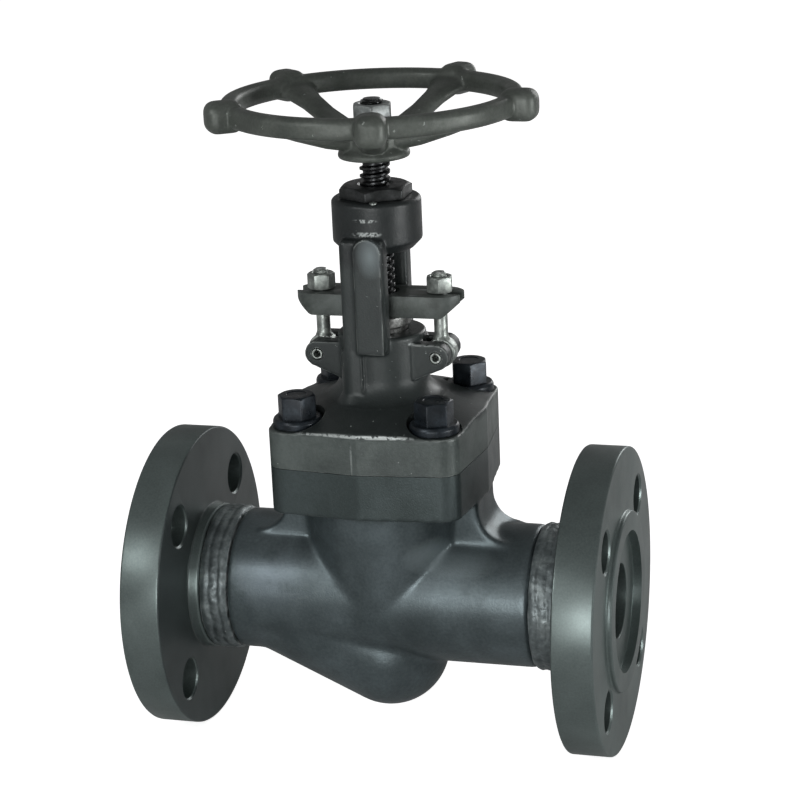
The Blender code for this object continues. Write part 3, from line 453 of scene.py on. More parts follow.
PAINTED = MetalFinish("thin_paint", ((0.056, 0.069, 0.066), (0.078, 0.095, 0.090), (0.102, 0.122, 0.116)),
                      0.25, (0.32, 0.50), patch=26 * MM, depth=0.10 * MM, stain=0.40,
                      worn=(0.40, 0.44, 0.42), wear_from=0.525, wear_patch=10 * MM, chips=0.006,
                      # painted shade: the dome, neck, yoke arms and head darker from 104 mm up, and the head
                      # darker still from 188 mm up
                      bands=(Band(Axis.Z, 104 * MM, 400 * MM, 3 * MM, (0.014, 0.018, 0.019), 0.72),
                             Band(Axis.Z, 188 * MM, 400 * MM, 6 * MM, (0.010, 0.012, 0.013), 0.55)),
                      scuffs_and_highlights=(ScuffAndHighlight((8 * MM, -54 * MM, 103.2 * MM), (34 * MM, 3.5 * MM, 1.3 * MM), BARE, 0.95,
                                    2.2 * MM, 0.44),
                              ScuffAndHighlight((-24 * MM, -53 * MM, 103.0 * MM), (26 * MM, 3 * MM, 0.8 * MM), BARE, 0.5,
                                    2.0 * MM, 0.5),
                              ScuffAndHighlight((-3 * MM, -55.5 * MM, 92 * MM), (0.7 * MM, 2.5 * MM, 12 * MM), BARE, 0.30,
                                    5 * MM, 0.42),
                              ScuffAndHighlight((0, -23.5 * MM, 209 * MM), (8 * MM, 2.5 * MM, 1.1 * MM), BARE, 0.75,
                                    1.6 * MM, 0.50),
                              ScuffAndHighlight((2 * MM, -23.5 * MM, 202 * MM), (11 * MM, 2.5 * MM, 1.6 * MM), BARE, 0.80,
                                    1.5 * MM, 0.50),
                              # painted highlight: a soft grey-blue patch on the top of the front arm's rib
                              ScuffAndHighlight((4 * MM, -28.5 * MM, 192 * MM), (8 * MM, 4 * MM, 13 * MM),
                                    (0.24, 0.29, 0.30), 0.62, 14 * MM, 0.34, 0.1),
                              # a pale broken line along the top front edge of the right front lug ear
                              ScuffAndHighlight((26 * MM, -13.5 * MM, 141.6 * MM), (11 * MM, 2 * MM, MM), BARE, 0.8,
                                    2.5 * MM, 0.42)))
GLAND_PAINT = MetalFinish("gland_paint",
                          ((0.050, 0.059, 0.055), (0.076, 0.089, 0.083), (0.100, 0.116, 0.110)),
                          0.30, (0.34, 0.52), patch=12 * MM, depth=0.08 * MM, stain=0.35,
                          worn=(0.32, 0.36, 0.35), wear_from=0.54)
BLACKED = MetalFinish("blacked_bolt", ((0.009, 0.013, 0.017), (0.015, 0.021, 0.027), (0.030, 0.040, 0.050)),
                      0.45, (0.24, 0.42), patch=7 * MM, grain=0.5 * MM, depth=0.05 * MM, stain=0.4,
                      worn=(0.24, 0.28, 0.30), wear_from=0.53, wear_patch=4 * MM)
ZINC = MetalFinish("dulled_zinc", ((0.20, 0.22, 0.21), (0.31, 0.34, 0.32), (0.46, 0.50, 0.47)),
                   0.70, (0.28, 0.46), patch=5 * MM, grain=0.4 * MM, depth=0.04 * MM, stain=0.5,
                   worn=(0.80, 0.83, 0.81), wear_from=0.54, wear_patch=2 * MM)
OILED = MetalFinish("oiled_stem", ((0.016, 0.017, 0.018), (0.034, 0.036, 0.037), (0.080, 0.084, 0.086)),
                    0.85, (0.18, 0.36), patch=6 * MM, grain=0.4 * MM, depth=0.03 * MM,
                    lay=Lay.ROUND_Z, pitch=0.5 * MM, stain=0.5, worn=(0.36, 0.38, 0.38),
                    wear_from=0.56, wear_patch=3 * MM)
NUT_DARK = MetalFinish("dark_nut", ((0.018, 0.020, 0.020), (0.034, 0.037, 0.037), (0.060, 0.064, 0.065)),
                       0.60, (0.28, 0.48), patch=8 * MM, grain=0.5 * MM, depth=0.05 * MM,
                       worn=(0.20, 0.22, 0.22), wear_from=0.54, wear_patch=4 * MM)
CAST = MetalFinish("cast_wheel", ((0.064, 0.074, 0.065), (0.092, 0.104, 0.092), (0.126, 0.140, 0.127)),
                   0.30, (0.34, 0.52), patch=22 * MM, grain=0.8 * MM, depth=0.10 * MM, stain=0.40,
                   worn=(0.30, 0.33, 0.31), wear_from=0.55, wear_patch=10 * MM, chips=0.004)
WHEEL_NUT = MetalFinish("wheel_nut", ((0.170, 0.186, 0.184), (0.270, 0.292, 0.290), (0.400, 0.430, 0.426)),
                        0.55, (0.28, 0.46), patch=6 * MM, grain=0.5 * MM, depth=0.06 * MM,
                        worn=(0.50, 0.54, 0.53), wear_from=0.53, wear_patch=3 * MM)
TRIM = MetalFinish("ground_trim", ((0.26, 0.27, 0.26), (0.36, 0.37, 0.36), (0.46, 0.47, 0.46)),
                   0.95, (0.22, 0.36), patch=9 * MM, grain=0.4 * MM, depth=0.03 * MM,
                   lay=Lay.ROUND_Z, pitch=0.4 * MM)
FOLLOWER = MetalFinish("stained_follower",
                       ((0.050, 0.052, 0.050), (0.120, 0.124, 0.120), (0.240, 0.246, 0.240)),
                       0.80, (0.24, 0.44), patch=5 * MM, grain=0.4 * MM, depth=0.04 * MM, stain=0.6,
                       lay=Lay.ROUND_Z, pitch=0.4 * MM)
GRAPHITE = MetalFinish("pressed_graphite",
                       ((0.012, 0.012, 0.013), (0.024, 0.024, 0.026), (0.045, 0.045, 0.048)),
                       0.10, (0.55, 0.80), patch=4 * MM, grain=0.7 * MM, depth=0.12 * MM)


# ------------------------------------------------------------------ shape tools

def arc(centre: Point2, radius: float, start: float, end: float, count: int) -> Outline:
    """Points of an arc.

    Args:
        centre: Its centre.
        radius: Its radius.
        start: First angle in degrees.
        end: Last angle in degrees.
        count: Number of steps.

    Returns:
        The points, both ends included.
    """
    angles = [radians(start + (end - start) * i / count) for i in range(count + 1)]
    return [(centre[0] + radius * cos(a), centre[1] + radius * sin(a)) for a in angles]


def soften(points: Sequence[Point2], radius: float, closed: bool = False,
           count: int = 4) -> Outline:
    """Round the corners of an outline.

    Args:
        points: The outline's corners.
        radius: How far back along each side the rounding starts.
        closed: Whether the last point joins the first.
        count: Steps in each corner.

    Returns:
        The rounded outline.
    """
    rounded: Outline = []
    last = len(points) - 1
    for i, point in enumerate(points):
        if not closed and i in (0, last):
            rounded.append(point)
            continue
        corner = Vector(point)
        back = Vector(points[i - 1]) - corner
        ahead = Vector(points[(i + 1) % len(points)]) - corner
        reach = min(radius, back.length * 0.45, ahead.length * 0.45)
        start = corner + back.normalized() * reach
        end = corner + ahead.normalized() * reach
        for k in range(count + 1):
            t = k / count
            spot = start * (1 - t) ** 2 + corner * 2 * t * (1 - t) + end * t * t
            rounded.append((spot.x, spot.y))
    return rounded


def make(name: str, verts: Iterable[Sequence[float]], faces: Iterable[Sequence[int]]) -> Piece:
    """Make an object from points and faces.

    Args:
        name: Its name.
        verts: Its points.
        faces: Its faces, as point numbers.

    Returns:
        The object, linked to the scene.
    """
    mesh = bpy.data.meshes.new(name)
    mesh.from_pydata(list(verts), [], list(faces))
    mesh.validate()
    item = bpy.data.objects.new(name, mesh)
    bpy.context.scene.collection.objects.link(item)
    return item


def tube(rows: int, width: int) -> list[tuple[int, int, int, int]]:
    """Quads that join rows of points, each row closed on itself.

    Args:
        rows: Number of rows.
        width: Points in each row.

    Returns:
        The faces, as point numbers.
    """
    return [(row * width + i, row * width + (i + 1) % width, (row + 1) * width + (i + 1) % width,
             (row + 1) * width + i) for row in range(rows - 1) for i in range(width)]


def turned(name: str, outline: Sequence[Point2], steps: int = 96) -> Piece:
    """Turn a closed solid about Z.

    Args:
        name: Its name.
        outline: (radius, height) points listed down the outer side.
        steps: Number of steps round.

    Returns:
        The solid.
    """
    verts: list[Point3] = []
    rings: list[list[int]] = []
    for radius, height in outline:
        if radius < 1e-7:
            verts.append((0.0, 0.0, height))
            rings.append([len(verts) - 1] * steps)
            continue
        first = len(verts)
        verts += [(radius * cos(FULL_TURN * i / steps), radius * sin(FULL_TURN * i / steps), height)
                  for i in range(steps)]
        rings.append(list(range(first, first + steps)))
    pairs = list(zip(rings, rings[1:]))
    if outline[0][0] > 0 and outline[-1][0] > 0:
        pairs.append((rings[-1], rings[0]))
    faces = []
    for upper, lower in pairs:
        for i in range(steps):
            j = (i + 1) % steps
            face = list(dict.fromkeys((upper[i], lower[i], lower[j], upper[j])))
            if len(face) > 2:
                faces.append(face)
    return make(name, verts, faces)


def bar(name: str, radius: float, low: float, high: float, edge: float = 0.0,
        steps: int = 64) -> Piece:
    """A round bar on Z with softened ends.

    Args:
        name: Its name.
        radius: Its radius.
        low: Its lower end.
        high: Its upper end.
        edge: Size of the softened edges.
        steps: Number of steps round.

    Returns:
        The bar.
    """
    corners = [(0.0, high), (radius, high), (radius, low), (0.0, low)]
    return turned(name, soften(corners, edge) if edge else corners, steps)


def prism(name: str, outline: Sequence[Point2], low: float, high: float,
          upright: bool = False) -> Piece:
    """A plate with straight sides.

    Args:
        name: Its name.
        outline: Its outline, anticlockwise.
        low: Lower face.
        high: Upper face.
        upright: Stand the outline in XZ, with the faces along Y.

    Returns:
        The plate.
    """
    count = len(outline)
    verts = [(x, y, low) for x, y in outline] + [(x, y, high) for x, y in outline]
    faces = [list(range(count))[::-1], list(range(count, 2 * count))]
    faces += [[i, (i + 1) % count, count + (i + 1) % count, count + i] for i in range(count)]
    item = make(name, verts, faces)
    if upright:
        swap = Matrix(((1, 0, 0, 0), (0, 0, 1, 0), (0, 1, 0, 0), (0, 0, 0, 1)))
        item.data.transform(swap)
        item.data.flip_normals()
    return item


def block(name: str, low: Sequence[float], high: Sequence[float]) -> Piece:
    """A block between two corners, used to shape other pieces."""
    plan = [(low[0], low[1]), (high[0], low[1]), (high[0], high[1]), (low[0], high[1])]
    return prism(name, plan, low[2], high[2])


def place(item: Piece, x: float = 0.0, y: float = 0.0, z: float = 0.0,
          turn: float = 0.0, about: str = "Z") -> Piece:
    """Turn a piece about an axis through the origin, then move it.

    Args:
        item: The piece.
        x: Distance along X.
        y: Distance along Y.
        z: Distance along Z.
        turn: Angle in radians.
        about: Axis of the turn.

    Returns:
        The same piece.
    """
    item.data.transform(Matrix.Translation((x, y, z)) @ Matrix.Rotation(turn, 4, about))
    return item


def settle(item: Piece) -> Piece:
    """Apply every modifier of a piece.

    Args:
        item: The piece.

    Returns:
        The same piece.
    """
    bpy.context.view_layer.update()
    depsgraph = bpy.context.evaluated_depsgraph_get()
    mesh = bpy.data.meshes.new_from_object(item.evaluated_get(depsgraph))
    item.modifiers.clear()
    item.data = mesh
    return item


def discard(items: Iterable[Piece]) -> None:
    """Remove shaping pieces that have done their work."""
    for item in list(items):
        bpy.data.objects.remove(item, do_unlink=True)


def boolean(item: Piece, tools: Sequence[Piece], operation: str) -> Piece:
    """Cut, join or trim a solid with others, which are used up.

    Args:
        item: The solid.
        tools: The other solids.
        operation: DIFFERENCE, UNION or INTERSECT.

    Returns:
        The changed solid.
    """
    for tool in tools:
        step = item.modifiers.new(operation.lower(), "BOOLEAN")
        step.operation = operation
        step.solver = "MANIFOLD"
        step.object = tool
    settle(item)
    discard(tools)
    return item


def cut(item: Piece, *tools: Piece) -> Piece:
    """Cut the tools out of a solid."""
    return boolean(item, tools, "DIFFERENCE")


def fuse(item: Piece, *tools: Piece) -> Piece:
    """Join the tools to a solid."""
    return boolean(item, tools, "UNION")


def bevel(item: Piece, width: float, segments: int = 3, angle: float = 30.0) -> Piece:
    """Soften the sharp edges of a solid.

    Args:
        item: The solid.
        width: Width of the bevel.
        segments: Steps across it.
        angle: Smallest angle of an edge that is softened, in degrees.

    Returns:
        The changed solid.
    """
    step = item.modifiers.new("bevel", "BEVEL")
    step.width = width
    step.segments = segments
    step.limit_method = "ANGLE"
    step.angle_limit = radians(angle)
    return settle(item)


def cast(name: str, parts: Sequence[Piece], grid: float, rounds: int) -> Piece:
    """Melt overlapping solids into one soft-edged casting.

    Args:
        name: Name of the casting.
        parts: The solids, which are used up.
        grid: Size of its mesh.
        rounds: How many times it is smoothed.

    Returns:
        The casting.
    """
    heap = bmesh.new()
    for part in parts:
        heap.from_mesh(part.data)
    mesh = bpy.data.meshes.new(name)
    heap.to_mesh(mesh)
    heap.free()
    discard(parts)
    item = bpy.data.objects.new(name, mesh)
    bpy.context.scene.collection.objects.link(item)
    skin = item.modifiers.new("skin", "REMESH")
    skin.mode = "VOXEL"
    skin.voxel_size = grid
    soft = item.modifiers.new("soft", "SMOOTH")
    soft.factor = 0.5
    soft.iterations = rounds
    return settle(item)


def threaded(name: str, radius: float, depth: float, pitch: float, low: float, high: float,
             steps: int = 48, rows_per_turn: int = 12) -> Piece:
    """A bar with a right-hand screw thread that runs out at both ends.

    Args:
        name: Its name.
        radius: Radius over the thread.
        depth: Depth of the thread.
        pitch: Distance from turn to turn.
        low: Lower end.
        high: Upper end.
        steps: Steps round.
        rows_per_turn: Rows in each turn.

    Returns:
        The bar.
    """
    rows = max(4, round((high - low) / pitch * rows_per_turn))
    verts = []
    for row in range(rows + 1):
        z = low + (high - low) * row / rows
        for i in range(steps):
            phase = (z / pitch - i / steps) % 1.0
            flank = min(1.0, max(0.0, (abs(phase - 0.5) - 0.16) / 0.18))
            reach = radius - depth * flank
            verts.append((reach * cos(FULL_TURN * i / steps), reach * sin(FULL_TURN * i / steps), z))
    faces = tube(rows + 1, steps)
    verts += [(0.0, 0.0, low), (0.0, 0.0, high)]
    foot, head = len(verts) - 2, len(verts) - 1
    for i in range(steps):
        j = (i + 1) % steps
        faces.append((foot, j, i))
        faces.append((head, rows * steps + i, rows * steps + j))
    return make(name, verts, faces)


def sleeve(name: str, radii: Point2, low: float, high: float, edge: float, steps: int = 72,
           count: int = 4) -> Piece:
    """A ring on Z with rounded edges.

    Args:
        name: Its name.
        radii: Inner and outer radius.
        low: Lower face.
        high: Upper face.
        edge: Size of the rounded edges.
        steps: Number of steps round.
        count: Steps in each rounded edge.

    Returns:
        The ring.
    """
    inner, outer = radii
    corners = [(inner, high), (outer, high), (outer, low), (inner, low)]
    return turned(name, soften(corners, edge, closed=True, count=count), steps)


def flared(name: str, hole: float, mouth: float, low: float, high: float, depth: float,
           over: float = MM, steps: int = 48) -> Piece:
    """A tool for a round hole that widens at both ends.

    Args:
        name: Its name.
        hole: Radius of the hole.
        mouth: Radius that the tool reaches outside the faces.
        low: Lower face of the piece.
        high: Upper face of the piece.
        depth: How far inside the faces the hole narrows to its size.
        over: How far the tool stands out of the faces.
        steps: Number of steps round.

    Returns:
        The tool.
    """
    return turned(name, [(0, high + over), (mouth, high + over), (hole, high - depth),
                         (hole, low + depth), (mouth, low - over), (0, low - over)], steps)


def lying(item: Piece) -> Piece:
    """Lay a piece that was made on Z down along X."""
    return place(item, turn=QUARTER, about="Y")


def at_bolts(*tools: Callable[[], Piece]) -> list[Piece]:
    """Make each tool once at each of the four bonnet bolts."""
    return [place(tool(), x, y) for x in (-BOLT_HALF, BOLT_HALF) for y in (-BOLT_HALF, BOLT_HALF)
            for tool in tools]


def hexagon(name: str, flats: float, low: float, high: float, chamfer_low: bool = False,
            edge: float = 0.35 * MM) -> Piece:
    """A hexagon with turned chamfers and faintly rounded corners.

    Args:
        name: Its name.
        flats: Width across flats.
        low: Lower face.
        high: Upper face.
        chamfer_low: Whether the lower end is chamfered too.
        edge: Rounding of its edges.

    Returns:
        The hexagon.
    """
    corner = flats / sqrt(3)
    plan = [(corner * cos(FULL_TURN * (k + 0.5) / 6), corner * sin(FULL_TURN * (k + 0.5) / 6))
            for k in range(6)]
    item = prism(name, soften(plan, 1.2 * edge, closed=True), low, high)
    wide, face = corner * 1.03, flats * 0.478
    drop = (wide - face) * 0.55
    outline = [(0.0, high), (face, high), (wide, high - drop)]
    if chamfer_low:
        outline += [(wide, low + drop), (face, low), (0.0, low)]
    else:
        outline += [(wide, low - MM), (0.0, low - MM)]
    boolean(item, [turned(name + "_chamfer", outline, 72)], "INTERSECT")
    return bevel(item, edge, 2, 20.0)


class SubAssembly:
    """Steps that every sub-assembly shares."""

    body = "valve_body"

    def dress(self, item: Piece, nodes: Sequence[str], finish: MetalFinish, slot: str,
              body: Optional[str] = None, crease: float = 32.0) -> Piece:
        """Finish a piece and set it on its body in place of the plain solids.

        Args:
            item: The piece.
            nodes: The plain solids that it stands for.
            finish: Its finish.
            slot: Not used.
            body: The body that carries it, if not the sub-assembly's own.
            crease: Edges sharper than this, in degrees, stay crisp.

        Returns:
            The same piece.
        """
        item.data.materials.clear()
        item.data.materials.append(finish.material())
        item.data.shade_smooth()
        item.data.set_sharp_from_angle(angle=radians(crease))
        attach(item, body or self.body)
        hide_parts(*nodes)
        LOG.info("%s: %d faces on %s", item.name, len(item.data.polygons), body or self.body)
        return item


# ------------------------------------------------------------------ pipe run

@dataclass
class PipeEnds(SubAssembly):
    """The two flanges and the welds that hold them to the body."""

    outer: float = 82.5 * MM
    raised: float = 48.5 * MM
    recess: float = 38 * MM
    recess_depth: float = 5 * MM
    bore: float = 20 * MM
    hub: float = 40 * MM
    thickness: float = 22 * MM
    face_step: float = 3 * MM
    hub_length: float = 6 * MM
    bolt_circle: float = 62.5 * MM
    bolt_hole: float = 11 * MM
    edge: float = 1.3 * MM
    weld_crown: float = 39.8 * MM
    weld_root: float = 29.45 * MM
    ripple: float = 0.42 * MM

    def build(self) -> None:
        """Build both ends."""
        for side, word in ((-1, "inlet"), (1, "outlet")):
            low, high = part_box(f"{word}_flange")
            tip = abs(high[0] if side > 0 else low[0])
            flange = self.flange(f"{word}_flange_turned", tip)
            weld = self.weld(f"{word}_weld_bead", word)
            for item in (flange, weld):
                place(item, turn=side * QUARTER, about="Y")
            self.dress(flange, [f"{word}_flange"], MACHINED, "flange_steel", crease=25.0)
            self.dress(weld, [f"{word}_weld"], WELDED, "weld_bead", crease=60.0)

    def flange(self, name: str, tip: float) -> Piece:
        """Turn one flange on Z and bore its bolt holes.

        Args:
            name: Its name.
            tip: Distance of its face from the stem axis.

        Returns:
            The flange.
        """
        face = tip - self.face_step
        back = face - self.thickness
        end = back - self.hub_length
        floor = tip - self.recess_depth
        outer_side = soften([
            (self.recess, tip), (self.raised, tip), (self.raised, face), (self.outer, face),
            (self.outer, back), (self.hub, back), (self.hub, end), (self.bore, end)], self.edge)
        inner_side = soften([(self.bore, end), (self.bore, floor), (self.recess, floor),
                             (self.recess, tip)], 0.5 * MM)
        item = turned(name, outer_side[:-1] + inner_side[:-1], 192)
        holes = []
        for i in range(4):
            angle = pi / 4 + i * QUARTER
            hole = flared(f"{name}_hole_{i}", self.bolt_hole, self.bolt_hole + 3 * MM, back, face, MM, 2 * MM)
            holes.append(place(hole, self.bolt_circle * cos(angle), self.bolt_circle * sin(angle)))
        return cut(item, *holes)

    def weld(self, name: str, word: str) -> Piece:
        """Lay a hand-run weld bead between flange and body.

        Args:
            name: Its name.
            word: Which end it is on, inlet or outlet.

        Returns:
            The bead, as a closed ring on Z.
        """
        low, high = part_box(f"{word}_weld")
        start, end = sorted((abs(low[0]), abs(high[0])))
        across, steps = 22, 260
        length = end - start
        verts, faces = [], []
        seed = Vector((3.1, 7.7, 1.9)) * (1 if word == "inlet" else 2)
        for i in range(steps):
            angle = FULL_TURN * i / steps
            wander = 0.9 * MM * noise.noise(seed + Vector((cos(angle), sin(angle), 0)) * 2.1)
            for k in range(across + 1):
                t = k / across
                z = start + length * t
                passes = abs(sin(pi * (3 * t + wander / MM * 0.35))) ** 0.6
                scallop = noise.noise(seed + Vector((cos(angle) * 14, sin(angle) * 14, t * 4)))
                toe = min(1.0, 6 * t, 6 * (1 - t))
                rise = self.ripple * (1.5 * passes - 1.2 + scallop) - 0.9 * MM * (1 - toe)
                reach = min(self.weld_crown, self.weld_crown - 0.25 * MM + rise)
                verts.append((reach * cos(angle), reach * sin(angle), z))
            verts.append((self.weld_root * cos(angle), self.weld_root * sin(angle), end))
            verts.append((self.weld_root * cos(angle), self.weld_root * sin(angle), start))
        ring = across + 3
        for i in range(steps):
            j = (i + 1) % steps
            for k in range(ring):
                m = (k + 1) % ring
                faces.append((i * ring + k, j * ring + k, j * ring + m, i * ring + m))
        return make(name, verts, faces)


# ------------------------------------------------------------------ body

@dataclass
class Body(SubAssembly):
    """The forged body: pipe arms, slanted belly, chest and joint plate."""

    pipe: float = 38.5 * MM
    root: float = 29 * MM
    belly: float = 32.5 * MM
    belly_x: float = -3 * MM
    belly_drop: float = 35 * MM
    ramp_x: float = 62 * MM
    ramp_drop: float = 3 * MM
    ramp_radius: float = 36.5 * MM
    chest_top: float = 47 * MM
    chest_foot: float = 38.5 * MM
    chest_foot_z: float = -2 * MM
    plate_base: float = 57.5 * MM
    plate_half: float = 51.5 * MM
    plate_bulge: float = 4 * MM
    plate_corner: float = 11 * MM
    saddle_radius: float = 16 * MM
    saddle_half: float = 19 * MM
    passage: float = 17 * MM
    bore: float = 20 * MM
    passage_start: float = 86 * MM
    inlet_drop: float = 40 * MM
    outlet_rise: float = 31 * MM
    chest: float = 27 * MM
    tap: float = 6.5 * MM

    def __post_init__(self) -> None:
        """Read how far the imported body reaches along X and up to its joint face."""
        self.end, _, self.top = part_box("body")[1]

    def build(self) -> None:
        """Build the forging, trim its joint face and bore it out."""
        item = fuse(self.forging(), lying(bar("spigots", self.root, -self.end, self.end)))
        trim = block("joint_trim", (-FAR, -FAR, self.top), (FAR, FAR, self.top + FAR / 2))
        cut(item, trim, *self.bores())
        self.dress(item, ["body"], FORGED, "forged_steel", crease=40.0)

    def plate_outline(self) -> Outline:
        """Plan of the joint plate: square, with each side drawn out to a low ridge.

        Returns:
            The outline, anticlockwise.
        """
        half, corner = self.plate_half, self.plate_corner
        points = []
        for quarter in range(4):
            turn = quarter * QUARTER
            side = arc((half - corner, half - corner), corner, 0, 90, 10)
            side.append((0.0, half + self.plate_bulge))
            points += [(x * cos(turn) - y * sin(turn), x * sin(turn) + y * cos(turn)) for x, y in side]
        return points

    def slanted(self, name: str, start: Point2, end: Point2, radii: Point2) -> Piece:
        """A round bar or cone between two points in the middle plane.

        Args:
            name: Its name.
            start: (x, z) of its start.
            end: (x, z) of its end.
            radii: Radius at each end.

        Returns:
            The bar.
        """
        way = Vector((end[0] - start[0], 0, end[1] - start[1]))
        item = turned(name, [(0, way.length), (radii[1], way.length), (radii[0], 0), (0, 0)], 80)
        turn = Vector((0, 0, 1)).rotation_difference(way).to_matrix().to_4x4()
        item.data.transform(Matrix.Translation((start[0], 0, start[1])) @ turn)
        return item

    def forging(self) -> Piece:
        """Melt the pipe, belly, chest, saddle and plate together.

        Returns:
            The forging, a little over height.
        """
        run = abs(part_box("inlet_weld")[1][0] + FACE_GAP)
        pipe = lying(bar("pipe", self.pipe, -run, run, 0.8 * MM, 96))
        ramp = self.slanted("ramp", (-self.ramp_x, -self.ramp_drop), (self.belly_x, -self.belly_drop),
                            (self.ramp_radius, self.belly))
        ball = turned("belly", [(0, self.belly)] + arc((0, 0), self.belly, 86, -86, 40)
                      + [(0, -self.belly)], 80)
        place(ball, x=self.belly_x, z=-self.belly_drop)
        chest = turned("chest", [
            (0, self.plate_base + 2 * MM), (self.chest_top, self.plate_base + 2 * MM),
            (self.chest_foot, self.chest_foot_z), (self.chest_foot * 0.7, -24 * MM), (0, -24 * MM)], 96)
        lower = cast("lower_body", [pipe, ramp, ball, chest, self.saddle()], MM, 22)
        plate = prism("plate", self.plate_outline(), self.plate_base, self.top + 3 * MM)
        return cast("body_forged", [lower, plate], 0.85 * MM, 5)

    def saddle(self) -> Piece:
        """The web that sweeps from the plate down onto both pipe arms.

        Returns:
            The web.
        """
        side = self.plate_half + self.plate_bulge / 2
        foot = self.pipe * 0.93
        sweep = self.saddle_radius
        right = arc((side + sweep, foot + sweep), sweep, 270, 180, 12)
        outline = [(side + sweep, foot - 14 * MM)] + right
        outline += [(side, self.plate_base + MM), (-side, self.plate_base + MM)]
        outline += [(-x, z) for x, z in reversed(right)] + [(-side - sweep, foot - 14 * MM)]
        return prism("saddle", outline, -self.saddle_half, self.saddle_half, upright=True)

    def bores(self) -> list[Piece]:
        """The flow passages, the seat pocket, the chest and the tapped holes.

        Returns:
            The cutting tools.
        """
        end, start, way = self.end + 2 * MM, self.passage_start, (self.passage, self.passage)
        (_, _, seat_low), (seat, _, seat_high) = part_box("seat_ring")
        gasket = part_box("body_gasket")
        over, recess, floor = self.top + 4 * MM, gasket[1][0] + 0.4 * MM, gasket[0][2] - FACE_GAP
        tap_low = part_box("bonnet_bolt_1")[0][2] - 0.6 * MM
        pocket = turned("pocket", [(0, self.passage)] + arc((0, 0), self.passage, 84, -84, 24)
                        + [(0, -self.passage)], 48)
        return [
            lying(bar("inlet_bore", self.bore, -end, -start + 2 * MM)),
            lying(bar("outlet_bore", self.bore, start - 2 * MM, end)),
            self.slanted("inlet_way", (-start, 0), (0, -self.inlet_drop), way),
            self.slanted("outlet_way", (start, 0), (0, self.outlet_rise), way),
            bar("throat", self.passage - 0.2 * MM, -self.inlet_drop, seat_low + MM),
            turned("chest_bore", [
                (0, over), (recess, over), (recess, floor), (self.chest, floor), (self.chest, seat_high),
                (seat + FIT_GAP, seat_high), (seat + FIT_GAP, seat_low - FACE_GAP),
                (0, seat_low - FACE_GAP)], 72),
            place(pocket, z=-self.inlet_drop),
            *at_bolts(lambda: bar("tapped", self.tap, tap_low, over, steps=32))]


# ------------------------------------------------------------------ bonnet

